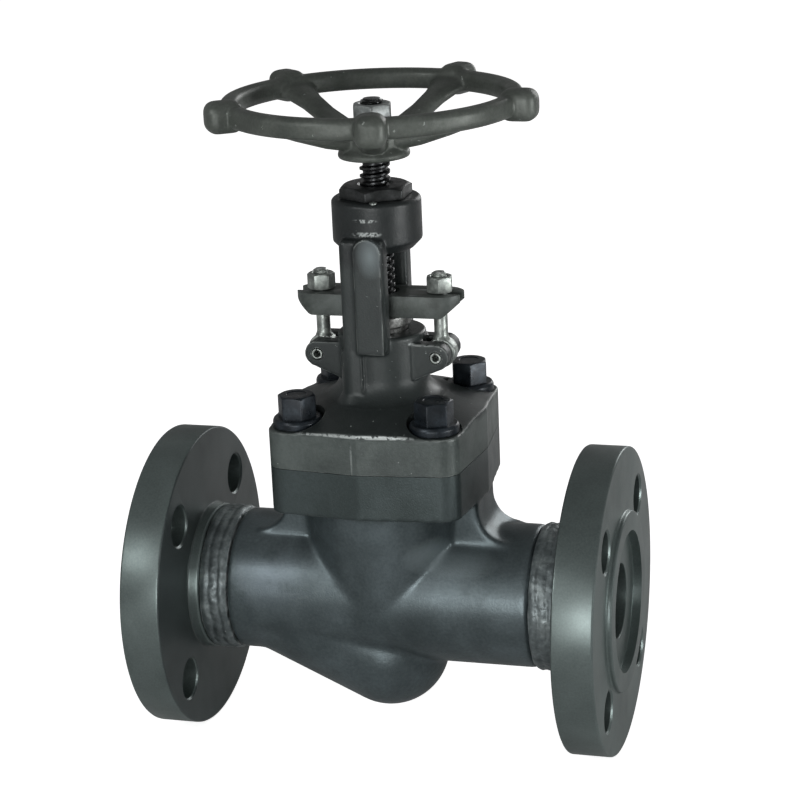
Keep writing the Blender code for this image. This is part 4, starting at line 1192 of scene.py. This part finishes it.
@dataclass
class Bonnet(SubAssembly):
    """The forged bonnet: joint plate, neck, clevis lugs, yoke arms and head."""

    spot_face_z: float = 102.5 * MM
    dome_top: float = 114 * MM
    dome_foot: float = 62 * MM
    neck: float = 23.3 * MM
    neck_top: float = 146 * MM
    neck_fillet: float = 12 * MM
    spigot: float = 37.7 * MM
    buttress_x: float = -9.5 * MM
    buttress: float = 7.2 * MM
    buttress_sink: float = 3.7 * MM
    arm_centre: float = -2 * MM
    arm_half: float = 12 * MM
    arm_inner: float = 16.5 * MM
    arm_outer: float = 26.5 * MM
    arm_foot: float = 8 * MM
    rib_centre: float = 1.9 * MM
    rib_half: float = 7.3 * MM
    rib_corner: float = 7 * MM
    rib_proud: float = 2.2 * MM
    rib_below_head: float = 17 * MM
    head: float = 23.5 * MM
    head_height: float = 27.5 * MM
    head_chamfer: float = 5 * MM
    pin_hole: float = 3.4 * MM
    lug: float = 7 * MM
    ear_inner: float = 5 * MM
    ear_outer: float = 13.5 * MM
    spot_face: float = 14.5 * MM
    bolt_hole: float = 6.6 * MM
    grub_hole: float = 2.3 * MM
    stem_bore: float = 8.4 * MM
    packing_bore: float = 14 * MM
    bush_bore: float = 16.45 * MM
    nut_bore: float = 15.45 * MM
    head_bore: float = 10 * MM

    def __post_init__(self) -> None:
        """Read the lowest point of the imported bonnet, under its spigot, and the top of its head."""
        (_, _, self.low), (_, _, self.top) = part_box("bonnet")

    def build(self) -> None:
        """Build the forging, then trim and bore it."""
        parts = [self.plate(), self.neck_solid(), self.buttress_solid(), self.yoke_head()]
        for side in (-1, 1):
            parts += [self.arm(side), self.rib(side)]
            parts += [self.ear(x_side, side) for x_side in (-1, 1)]
        item = cast("bonnet_forged", parts, 0.75 * MM, 5)
        cut(item, *self.trims(), *self.bores())
        self.dress(item, ["bonnet"], PAINTED, "bonnet_paint", crease=40.0)

    def plate(self) -> Piece:
        """The joint plate, its top sloping up to the neck.

        Returns:
            The plate.
        """
        low, far = self.low - MM, 1.2 * FAR
        item = prism("bonnet_plate", Body().plate_outline(), self.low, self.dome_top + 4 * MM)
        outline = [(0, self.dome_top), (self.neck, self.dome_top),
                   (self.neck + 6 * MM, self.dome_top - 1.2 * MM), (self.dome_foot, self.spot_face_z),
                   (far, self.spot_face_z), (far, low), (0, low)]
        return boolean(item, [turned("dome", outline, 96)], "INTERSECT")

    def neck_solid(self) -> Piece:
        """The neck, swept into the dome at its foot.

        Returns:
            The neck.
        """
        low = self.low + 6 * MM
        foot = self.dome_top - 2.5 * MM
        sweep = arc((self.neck + self.neck_fillet, foot + self.neck_fillet), self.neck_fillet,
                    180, 262, 14)
        outline = [(0, self.neck_top), (self.neck - MM, self.neck_top),
                   (self.neck, self.neck_top - MM)] + sweep + [(self.neck, low), (0, low)]
        return turned("neck", outline, 96)

    def buttress_solid(self) -> Piece:
        """The upright half-round swelling on the neck, square on its right.

        Returns:
            The swelling.
        """
        radius = self.buttress
        plan = arc((0, 0), radius, 90, 290, 16) + [(radius * 0.75, -radius * 0.9), (radius * 0.75, radius)]
        low, high = self.spot_face_z, self.neck_top - self.arm_foot + 2 * MM
        item = prism("buttress", plan, low, high)
        above, below = self.dome_top + 5 * MM, self.dome_top - 3 * MM
        flare = turned("buttress_foot", [(0, above), (radius * 0.8, above), (radius * 1.5, below),
                                         (0, below)], 40)
        fuse(item, flare)
        return place(item, self.buttress_x, self.buttress_sink - self.neck)

    def yoke_head(self) -> Piece:
        """The round head that holds the yoke nut.

        Returns:
            The head.
        """
        top, base = self.top, self.top - self.head_height
        outline = [(0, top), (self.head - 1.4 * MM, top), (self.head, top - 1.4 * MM),
                   (self.head, base + self.head_chamfer), (self.head - self.head_chamfer, base), (0, base)]
        return turned("yoke_head", outline, 96)

    def arm(self, side: int) -> Piece:
        """One yoke arm.

        Args:
            side: -1 in front, +1 behind.

        Returns:
            The arm.
        """
        low_z = self.neck_top - self.arm_foot
        high_z = self.top - self.rib_below_head - MM
        inner, outer = sorted((side * self.arm_inner, side * self.arm_outer))
        left, right = self.arm_centre - self.arm_half, self.arm_centre + self.arm_half
        item = block("arm", (left, inner, low_z), (right, outer, high_z))
        return bevel(item, 2.6 * MM, 4)

    def rib(self, side: int) -> Piece:
        """The proud rib down the outside of an arm, round at its top.

        Args:
            side: -1 in front, +1 behind.

        Returns:
            The rib.
        """
        left, right = self.rib_centre - self.rib_half, self.rib_centre + self.rib_half
        low, high = self.neck_top - self.arm_foot + 1.2 * MM, self.top - self.rib_below_head
        corner = self.rib_corner
        outline = [(left, low), (right, low)]
        outline += arc((right - corner, high - corner), corner, 0, 90, 8)
        outline += arc((left + corner, high - corner), corner, 90, 180, 8)
        inner, outer = sorted((side * (self.arm_outer - 3 * MM), side * (self.arm_outer + self.rib_proud)))
        return prism("rib", outline, inner, outer, upright=True)

    def ear(self, x_side: int, y_side: int) -> Piece:
        """One ear of a clevis lug.

        Args:
            x_side: -1 left, +1 right.
            y_side: -1 front, +1 back.

        Returns:
            The ear.
        """
        outline = [(12 * MM, PIN_Z - self.lug - 9 * MM)]
        outline += arc((PIN_X, PIN_Z), self.lug, -70, 95, 20)
        outline += [(12 * MM, PIN_Z + self.lug)]
        if x_side < 0:
            outline = [(-x, z) for x, z in reversed(outline)]
        inner, outer = sorted((y_side * self.ear_inner, y_side * self.ear_outer))
        return prism("ear", outline, inner, outer, upright=True)

    def trims(self) -> list[Piece]:
        """Tools that leave the joint face flat around the spigot.

        Returns:
            The cutting tools.
        """
        face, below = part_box("body")[1][2] + FACE_GAP, self.low - 4 * MM
        outline = [(FAR, face), (FAR, below), (self.spigot, below), (self.spigot, face)]
        return [turned("face_trim", outline, 96),
                block("under_trim", (-FAR, -FAR, self.low - 6 * MM), (FAR, FAR, self.low))]

    def bores(self) -> list[Piece]:
        """The stuffing box, stem bore, bush pocket, head bore and holes.

        Returns:
            The cutting tools.
        """
        below, neck, above = self.low - 2 * MM, self.neck_top + 2 * MM, self.top + 2 * MM
        under_head = self.top - self.head_height - 2 * MM
        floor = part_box("packing_ring_1")[0][2] - FACE_GAP
        bush_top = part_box("backseat_bush")[1][2] + FACE_GAP
        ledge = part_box("yoke_nut")[0][2] - FACE_GAP
        grub_low, grub_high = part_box("yoke_nut_grub_screw")
        tools = [
            turned("stem_bore", [
                (0, neck), (self.packing_bore, neck), (self.packing_bore, floor), (self.stem_bore, floor),
                (self.stem_bore, bush_top), (self.bush_bore, bush_top), (self.bush_bore, below),
                (0, below)], 64),
            turned("head_bore", [
                (0, above), (self.nut_bore, above), (self.nut_bore, ledge), (self.head_bore, ledge),
                (self.head_bore, under_head), (0, under_head)], 64),
            place(bar("grub_hole", self.grub_hole, grub_low[2] - FACE_GAP, above, steps=32),
                  (grub_low[0] + grub_high[0]) / 2, (grub_low[1] + grub_high[1]) / 2)]
        for side in (-1, 1):
            hole = place(bar("pin_hole", self.pin_hole, -20 * MM, 20 * MM, steps=40), turn=QUARTER, about="X")
            tools.append(place(hole, x=side * PIN_X, z=PIN_Z))
        return tools + at_bolts(
            lambda: bar("bolt_hole", self.bolt_hole, below, self.dome_top, steps=32),
            lambda: bar("spot_face", self.spot_face, self.spot_face_z, self.dome_top + 6 * MM, 0.6 * MM))


@dataclass
class BonnetBolts(SubAssembly):
    """The four collared bolts of the bonnet joint."""

    flats: float = 18 * MM
    collar: float = 13 * MM
    collar_height: float = 4.7 * MM
    shank: float = 6 * MM

    def build(self) -> None:
        """Build every bolt where its plain solid stands."""
        for number in range(1, 5):
            name = f"bonnet_bolt_{number}"
            low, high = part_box(name)
            item = self.bolt(f"{name}_forged", low[2], high[2])
            place(item, (low[0] + high[0]) / 2, (low[1] + high[1]) / 2, turn=radians(8 + 23 * number))
            self.dress(item, [name], BLACKED, "bolt_black", crease=28.0)

    def bolt(self, name: str, tip: float, top: float) -> Piece:
        """One bolt on Z.

        Args:
            name: Its name.
            tip: Lower end of its thread.
            top: Top of its head.

        Returns:
            The bolt.
        """
        seat = Bonnet.spot_face_z + FACE_GAP
        collar_top = seat + self.collar_height
        item = hexagon(name, self.flats, collar_top - 0.6 * MM, top)
        collar = turned("collar", soften([
            (0, collar_top), (self.collar - 0.8 * MM, collar_top), (self.collar, collar_top - 1.6 * MM),
            (self.collar, seat), (self.shank, seat), (self.shank, seat - 6 * MM), (0, seat - 6 * MM)],
            0.5 * MM), 72)
        shank = threaded("shank", self.shank, 0.7 * MM, 1.75 * MM, tip, seat - 5 * MM, 40)
        dish = turned("dish", [(0, top + MM), (6.2 * MM, top + MM), (5.2 * MM, top - 0.35 * MM),
                               (0, top - 0.35 * MM)], 48)
        fuse(item, collar, shank)
        return cut(item, dish)


# ------------------------------------------------------------------ gland

@dataclass
class Gland(SubAssembly):
    """The gland flange, its follower, the swing bolts, nuts and pins."""

    length_half: float = 45.25 * MM
    width_half: float = 12 * MM
    tip: float = 3.4 * MM
    undercut: float = 9.5 * MM
    slot: float = 4.5 * MM
    stem_hole: float = 10 * MM
    bolt: float = 4 * MM
    eye: float = 8 * MM
    eye_half: float = 4 * MM
    pin: float = 3 * MM
    nut_flats: float = 13 * MM

    def build(self) -> None:
        """Build the gland and what holds it down."""
        self.dress(self.flange(), ["gland_flange"], GLAND_PAINT, "bonnet_paint", crease=30.0)
        self.dress(self.follower(), ["gland_follower"], FOLLOWER, "trim_steel", crease=30.0)
        for side, word in ((-1, "left"), (1, "right")):
            self.dress(self.eyebolt(side, word), [f"gland_eyebolt_{word}"], ZINC, "zinc_plate",
                       f"{word}_eyebolt")
            self.dress(self.nut(side, word), [f"gland_nut_{word}"], ZINC, "zinc_plate",
                       f"{word}_gland_nut", crease=28.0)
            self.dress(self.roll_pin(side, word), [f"eyebolt_pin_{word}"], ZINC, "zinc_plate")

    def flange(self) -> Piece:
        """The oval gland with open slots and undercut tips.

        Returns:
            The gland flange.
        """
        low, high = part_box("gland_flange")[0][2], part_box("gland_flange")[1][2]
        half, under = self.length_half, self.undercut
        side_view = [(-half, high - self.tip), (-half + under, low), (half - under, low),
                     (half, high - self.tip), (half, high), (-half, high)]
        r = self.width_half
        item = prism("gland_forged", soften(side_view, 1.6 * MM, closed=True), -2 * r, 2 * r, upright=True)
        plan = arc((half - r, 0), r, -90, 90, 24) + arc((r - half, 0), r, 90, 270, 24)
        boolean(item, [prism("gland_plan", plan, low - MM, high + MM)], "INTERSECT")
        tools = [bar("gland_hole", self.stem_hole, low - 2 * MM, high + 2 * MM)]
        for side in (-1, 1):
            mouth = side * (half + 3 * MM)
            turn = (90, 270) if side > 0 else (270, 450)
            outline = arc((side * PIN_X, 0), self.slot, *turn, 16)
            outline += [(mouth, outline[-1][1]), (mouth, outline[0][1])]
            tools.append(prism("gland_slot", outline, low - 2 * MM, high + 2 * MM))
        cut(item, *tools)
        return bevel(item, 0.8 * MM, 3, 35.0)

    def follower(self) -> Piece:
        """The bush that presses on the packing.

        Returns:
            The bush.
        """
        low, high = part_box("gland_follower")
        wide, nose, hole = high[0], 13.55 * MM, 8.4 * MM
        step = Bonnet.neck_top + 3 * MM
        outline = soften([(hole, high[2]), (wide, high[2]), (wide, step), (nose, step), (nose, low[2]),
                          (hole, low[2])], 0.8 * MM, closed=True)
        return turned("follower_turned", outline, 72)

    def eyebolt(self, side: int, word: str) -> Piece:
        """One swing bolt.

        Args:
            side: -1 left, +1 right.
            word: left or right.

        Returns:
            The swing bolt.
        """
        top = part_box(f"gland_eyebolt_{word}")[1][2]
        hole, half = self.pin + 0.35 * MM, self.eye_half
        item = sleeve(f"eyebolt_{word}_forged", (hole, self.eye), -half, half, MM)
        place(item, turn=QUARTER, about="X")
        reach = top - PIN_Z
        waist = turned("waist", soften([
            (0, reach * 0.5), (self.bolt - 0.35 * MM, reach * 0.5), (self.bolt - 0.35 * MM, 9 * MM),
            (self.bolt + 0.9 * MM, 6.4 * MM), (0, 6.4 * MM)], MM), 40)
        thread = threaded("thread", self.bolt, 0.55 * MM, 1.25 * MM, reach * 0.48, reach - 0.7 * MM, 36)
        point = turned("point", [(0, reach), (self.bolt - 1.1 * MM, reach),
                                 (self.bolt - 0.5 * MM, reach - 0.8 * MM), (0, reach - 0.9 * MM)], 36)
        fuse(item, waist, thread, point)
        return place(item, x=side * PIN_X, z=PIN_Z)

    def nut(self, side: int, word: str) -> Piece:
        """One gland nut.

        Args:
            side: -1 left, +1 right.
            word: left or right.

        Returns:
            The nut.
        """
        low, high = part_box(f"gland_nut_{word}")
        item = hexagon(f"nut_{word}_forged", self.nut_flats, low[2], high[2], chamfer_low=True)
        cut(item, flared("nut_bore", 4.4 * MM, 5.6 * MM, low[2], high[2], 0.6 * MM))
        return place(item, x=side * PIN_X, turn=radians(12 * side))

    def roll_pin(self, side: int, word: str) -> Piece:
        """One rolled spring pin, hollow and open at both ends.

        Args:
            side: -1 left, +1 right.
            word: left or right.

        Returns:
            The pin.
        """
        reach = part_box(f"eyebolt_pin_{word}")[1][1]
        item = sleeve(f"pin_{word}_rolled", (self.pin - 1.25 * MM, self.pin), -reach, reach, 0.5 * MM, 48)
        cut(item, block("pin_gap", (-0.3 * MM, 0, -30 * MM), (0.3 * MM, 5 * MM, 30 * MM)))
        place(item, turn=QUARTER, about="X")
        return place(item, x=side * PIN_X, z=PIN_Z)


# ------------------------------------------------------------------ stem

@dataclass
class StemSet(SubAssembly):
    """The threaded stem, the yoke nut and its locking screw."""

    radius: float = 8 * MM
    thread_depth: float = 1.7 * MM
    thread_pitch: float = 4 * MM
    thread_from: float = 158 * MM
    square: float = 5.5 * MM
    end: float = 6 * MM
    nut_body: float = 15 * MM
    nut_flats: float = 34 * MM
    nut_hole: float = 8.4 * MM
    nut_mouth: float = 10.4 * MM

    def build(self) -> None:
        """Build the stem, the yoke nut and the screw."""
        self.dress(self.stem(), ["stem"], OILED, "stem_steel", "stem_and_handwheel", 35.0)
        self.dress(self.yoke_nut(), ["yoke_nut"], NUT_DARK, "yoke_nut_metal", crease=28.0)
        self.dress(self.grub_screw(), ["yoke_nut_grub_screw"], ZINC, "zinc_plate", crease=28.0)

    def stem(self) -> Piece:
        """Shaft with collar and button, screw thread, square and threaded end.

        Returns:
            The stem.
        """
        low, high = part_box("stem")
        hub_top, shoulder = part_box("handwheel_washer")[0][2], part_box("handwheel")[0][2] - FACE_GAP
        r, collar, button, neck = self.radius, 13 * MM, 9 * MM, 7 * MM
        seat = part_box("backseat_bush")[0][2] - 12.4 * MM
        nut_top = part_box("disc_nut")[1][2] + 2 * MM
        shaft = [(0, self.thread_from + 2 * MM), (r - 1.2 * MM, self.thread_from + 2 * MM),
                 (r, self.thread_from), (r, seat + collar - r), (collar, seat), (collar, seat - 5 * MM),
                 (r, seat - 5 * MM - collar + r), (r, nut_top + MM), (neck, nut_top),
                 (neck, low[2] + 5 * MM), (button, low[2] + 5 * MM), (button, low[2]), (0, low[2])]
        item = turned("stem_turned", shaft, 64)
        thread = threaded("stem_thread", r, self.thread_depth, self.thread_pitch, self.thread_from + MM,
                          shoulder, 64, 16)
        half = self.square
        square = block("square", (-half, -half, shoulder - 2 * MM), (half, half, hub_top - MM))
        bevel(square, 0.5 * MM)
        end = threaded("end_thread", self.end, 0.9 * MM, 1.75 * MM, hub_top - 2 * MM, high[2] - MM, 48)
        point = turned("end_point", [(0, high[2]), (self.end - 1.6 * MM, high[2]),
                                     (self.end - 0.6 * MM, high[2] - 1.2 * MM), (0, high[2] - 1.3 * MM)], 48)
        return fuse(item, thread, square, end, point)

    def yoke_nut(self) -> Piece:
        """The threaded bush whose hexagon stands on the yoke head.

        Returns:
            The yoke nut.
        """
        low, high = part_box("yoke_nut")
        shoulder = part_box("bonnet")[1][2] + FACE_GAP
        item = hexagon("yoke_nut_turned", self.nut_flats, shoulder, high[2])
        fuse(item, bar("nut_body", self.nut_body, low[2], shoulder + MM, 0.6 * MM))
        hole = turned("nut_bore", [
            (0, high[2] + MM), (self.nut_mouth, high[2] + MM), (self.nut_hole, high[2] - 1.2 * MM),
            (self.nut_hole, low[2] - MM), (0, low[2] - MM)], 64)
        return cut(item, hole)

    def grub_screw(self) -> Piece:
        """The socket screw that locks the yoke nut.

        Returns:
            The screw.
        """
        low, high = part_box("yoke_nut_grub_screw")
        radius = (high[0] - low[0]) / 2
        item = bar("grub_screw_turned", radius, low[2], high[2], 0.5 * MM, 40)
        socket = [(1.15 * MM * cos(FULL_TURN * k / 6), 1.15 * MM * sin(FULL_TURN * k / 6)) for k in range(6)]
        cut(item, prism("socket", socket, high[2] - 2 * MM, high[2] + MM))
        return place(item, (low[0] + high[0]) / 2, (low[1] + high[1]) / 2)


# ------------------------------------------------------------------ handwheel

@dataclass
class Handwheel(SubAssembly):
    """The cast wheel with five knobs and dished spokes, and what holds it."""

    body = "stem_and_handwheel"
    rim: float = 78 * MM
    rim_width: float = 9.4 * MM
    rim_height: float = 11 * MM
    rim_z: float = 266.2 * MM
    knobs: int = 5
    first_knob: float = radians(-74)
    knob_reach: float = 88 * MM
    knob_half: float = 8 * MM
    knob_height: float = 16.5 * MM
    hub: float = 18.8 * MM
    hub_top: float = 15.5 * MM
    collar: float = 4 * MM
    square: float = 5.8 * MM
    nut_flats: float = 19 * MM
    end_hole: float = 6.3 * MM
    section: int = 24
    squareness: float = 2.6           # of a spoke's section: 2 is an ellipse, more is squarer
    # Share of the way out, share of the rise, then half-width and half-height in millimetres
    spoke_stations: tuple[tuple[float, float, float, float], ...] = (
        (0.00, 0.00, 7.5, 5.2), (0.25, 0.16, 6.3, 4.8), (0.5, 0.42, 6.0, 4.4), (0.72, 0.70, 6.8, 4.2),
        (0.88, 0.90, 9.5, 4.2), (1.00, 1.00, 15.5, 4.4))

    def build(self) -> None:
        """Cast the wheel, broach its square and add the washer and nut."""
        low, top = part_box("handwheel")[0][2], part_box("handwheel_washer")[0][2] - FACE_GAP
        parts = [self.rim_solid(), self.hub_solid(low, top)]
        for number in range(self.knobs):
            angle = self.first_knob + FULL_TURN * number / self.knobs
            parts += [place(self.spoke(low), turn=angle), place(self.knob(), turn=angle)]
        item = cast("handwheel_cast", parts, 0.8 * MM, 6)
        half, face = self.square, 20 * MM
        cut(item, block("broach", (-half, -half, low - 4 * MM), (half, half, top + 4 * MM)),
            block("face", (-face, -face, top), (face, face, top + 5 * MM)))
        self.dress(item, ["handwheel"], CAST, "wheel_iron", crease=45.0)
        self.washer()
        self.nut()

    def rim_solid(self) -> Piece:
        """The rim, taller than wide, with well-rounded corners."""
        half = self.rim_height / 2
        return sleeve("rim", (self.rim - self.rim_width, self.rim), self.rim_z - half, self.rim_z + half,
                      self.rim_width * 0.42, 220, 6)

    def hub_solid(self, low: float, top: float) -> Piece:
        """The hub with its thin collar underneath.

        Args:
            low: Underside of the collar.
            top: Top of the hub.

        Returns:
            The hub.
        """
        step = low + self.collar
        outline = [(0, top), (self.hub_top - 1.5 * MM, top), (self.hub_top, top - 2 * MM),
                   (self.hub_top, step + 2 * MM), (self.hub - 1.5 * MM, step + 0.5 * MM),
                   (self.hub, step - MM), (self.hub, low + 0.8 * MM), (self.hub - 0.8 * MM, low), (0, low)]
        return turned("hub", outline, 96)

    def spoke(self, low: float) -> Piece:
        """A dished spoke that spreads where it meets the rim.

        Args:
            low: Underside of the hub.

        Returns:
            The spoke along +X.
        """
        start, end = self.hub_top - 5 * MM, self.rim - self.rim_width / 2
        z_start, z_end, power = low + 8.5 * MM, self.rim_z - MM, self.squareness
        verts = []
        for along, rise, half, thick in self.spoke_stations:
            x = start + (end - start) * along
            z = z_start + (z_end - z_start) * rise
            for i in range(self.section):
                angle = FULL_TURN * i / self.section
                bulge = (abs(cos(angle)) ** power + abs(sin(angle)) ** power) ** (-1 / power)
                verts.append((x, half * MM * bulge * cos(angle), z + thick * MM * bulge * sin(angle)))
        count, rows = self.section, len(self.spoke_stations)
        ends = [list(range(count))[::-1], list(range((rows - 1) * count, rows * count))]
        return make("spoke", verts, ends + tube(rows, count))

    def knob(self) -> Piece:
        """A rounded grip knob that grows out of the rim.

        Returns:
            The knob, on +X.
        """
        inner = self.rim - self.rim_width
        half = self.knob_height / 2
        item = block("knob", (inner, -self.knob_half, self.rim_z - half),
                     (self.knob_reach, self.knob_half, self.rim_z + half))
        return bevel(item, 5.6 * MM, 5)

    def washer(self) -> None:
        """The plain washer under the nut."""
        low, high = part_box("handwheel_washer")
        item = sleeve("washer_pressed", (self.end_hole, high[0]), low[2], high[2], 0.4 * MM)
        self.dress(item, ["handwheel_washer"], ZINC, "zinc_plate", crease=28.0)

    def nut(self) -> None:
        """The nut on the threaded end of the stem."""
        low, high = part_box("handwheel_nut")
        item = hexagon("wheel_nut_forged", self.nut_flats, low[2], high[2], chamfer_low=True, edge=0.5 * MM)
        cut(item, flared("nut_bore", self.end_hole, 8.2 * MM, low[2], high[2], 0.9 * MM, steps=56))
        place(item, turn=radians(14))
        self.dress(item, ["handwheel_nut"], WHEEL_NUT, "wheel_iron", crease=28.0)


# ------------------------------------------------------------------ inner pieces

@dataclass
class InnerTrim(SubAssembly):
    """Pieces inside the valve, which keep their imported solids."""

    ground: tuple[str, ...] = ("seat_ring", "backseat_bush", "disc", "disc_nut")
    pressed: tuple[str, ...] = ("body_gasket",) + tuple(f"packing_ring_{k}" for k in range(1, 6))

    def build(self) -> None:
        """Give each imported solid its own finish."""
        for names, finish in ((self.ground, TRIM), (self.pressed, GRAPHITE)):
            for name in names:
                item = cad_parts[name]
                for slot in item.material_slots:
                    slot.material = finish.material()
                LOG.info("%s: packed solid, finish %s", name, finish.name)


# ------------------------------------------------------------------ studio

@dataclass
class Studio:
    """The camera, the lamps, the floor and the backdrop."""

    camera_place: Point3 = (0.34973, -1.14369, 0.47768)
    yaw: float = radians(16.63)
    pitch: float = radians(17.27)
    roll: float = radians(-2.51)
    lens: float = 105.8
    floor_half: float = 9.0
    backdrop_y: float = 8.0
    backdrop_height: float = 6.0
    glow: float = 0.86
    floor_tone: float = 0.80
    world_tone: float = 0.24
    aim: Point3 = (0.0, 0.0, 0.08)
    # Name, place, width and power
    lamps: tuple[tuple[str, Point3, float, float], ...] = (
        ("key", (0.05, -1.8, 0.12), 0.9, 12.5), ("fill", (1.6, -0.35, 0.02), 0.7, 14.0),
        ("left", (-0.75, -1.15, 0.70), 0.4, 3.6), ("back", (0.5, 1.7, 0.55), 0.9, 7.0))

    def build(self) -> None:
        """Set up the whole studio."""
        self.camera()
        self.light()
        self.world()
        low, half, back = CAD_BOX[0][2], self.floor_half, self.backdrop_y
        top = low + self.backdrop_height
        white = self.paper()
        sheets = {"floor": [(-half, -half, low), (half, -half, low), (half, half, low), (-half, half, low)],
                  "backdrop": [(-half, back, low), (half, back, low), (half, back, top), (-half, back, top)]}
        items = [make(name, corners, [(0, 1, 2, 3)]) for name, corners in sheets.items()]
        for item in items:
            item.data.materials.append(white)
        bpy.context.scene.view_settings.view_transform = "Standard"

    def camera(self) -> None:
        """Aim the camera down at the valve from the right of its front."""
        ahead = Vector((-sin(self.yaw) * cos(self.pitch), cos(self.yaw) * cos(self.pitch), -sin(self.pitch)))
        right = Vector((cos(self.yaw), sin(self.yaw), 0))
        up = right.cross(ahead)
        side = right * cos(self.roll) + up * sin(self.roll)
        rise = up * cos(self.roll) - right * sin(self.roll)
        data = bpy.data.cameras.new("camera")
        data.lens = self.lens
        item = bpy.data.objects.new("camera", data)
        turn = Matrix((side, rise, -ahead)).transposed().to_4x4()
        item.matrix_world = Matrix.Translation(self.camera_place) @ turn
        bpy.context.scene.collection.objects.link(item)
        bpy.context.scene.camera = item

    def light(self) -> None:
        """Hang the soft lamps, all aimed at the middle of the valve."""
        for name, spot, size, power in self.lamps:
            data = bpy.data.lights.new(name, "AREA")
            data.shape = "DISK"
            data.size = size
            data.energy = power
            item = bpy.data.objects.new(name, data)
            turn = (Vector(self.aim) - Vector(spot)).to_track_quat("-Z", "Y").to_matrix().to_4x4()
            item.matrix_world = Matrix.Translation(spot) @ turn
            bpy.context.scene.collection.objects.link(item)

    def seen(self, tree: bpy.types.NodeTree) -> Socket:
        """Whether a ray comes straight from the camera.

        Args:
            tree: The node tree to add to.

        Returns:
            1 for such a ray and 0 for any other.
        """
        return tree.nodes.new("ShaderNodeLightPath").outputs["Is Camera Ray"]

    def world(self) -> None:
        """A white surround to look at, and a softer one to light by."""
        world = bpy.data.worlds.new("studio")
        bpy.context.scene.world = world
        world.use_nodes = True
        tree = world.node_tree
        background = tree.nodes["Background"]
        strength = tree.nodes.new("ShaderNodeMapRange")
        strength.inputs["To Min"].default_value = self.world_tone
        strength.inputs["To Max"].default_value = 1.0
        tree.links.new(self.seen(tree), strength.inputs["Value"])
        tree.links.new(strength.outputs["Result"], background.inputs["Strength"])
        background.inputs["Color"].default_value = (1.0, 1.0, 1.0, 1.0)

    def paper(self) -> bpy.types.Material:
        """White paper that keeps a soft shadow.

        Returns:
            The material of the floor and the backdrop.
        """
        material = bpy.data.materials.new("studio_paper")
        wiring = Wiring(material)
        tone = self.floor_tone
        paper = wiring.ramp(wiring.cloud(50 * MM, 3.0), ((0.4, (tone,) * 3), (0.6, (tone * 1.02,) * 3)))
        wiring.feed(paper, wiring.shader.inputs["Base Color"])
        wiring.shader.inputs["Roughness"].default_value = 0.9
        wiring.shader.inputs["Specular IOR Level"].default_value = 0.0
        wiring.shader.inputs["Emission Color"].default_value = (1.0, 1.0, 1.0, 1.0)
        glow = wiring.remap(self.seen(wiring.tree), (0.0, 1.0), (0.0, self.glow))
        wiring.feed(glow, wiring.shader.inputs["Emission Strength"])
        return material


def main() -> None:
    """Build every sub-assembly in order, then the studio round it."""
    logging.basicConfig(level=logging.INFO, format="%(name)s: %(message)s")
    for assembly in (PipeEnds(), Body(), Bonnet(), BonnetBolts(), Gland(), StemSet(), Handwheel(),
                     InnerTrim()):
        LOG.info("building %s", type(assembly).__name__)
        assembly.build()
    Studio().build()


if __name__ == "__main__":
    main()
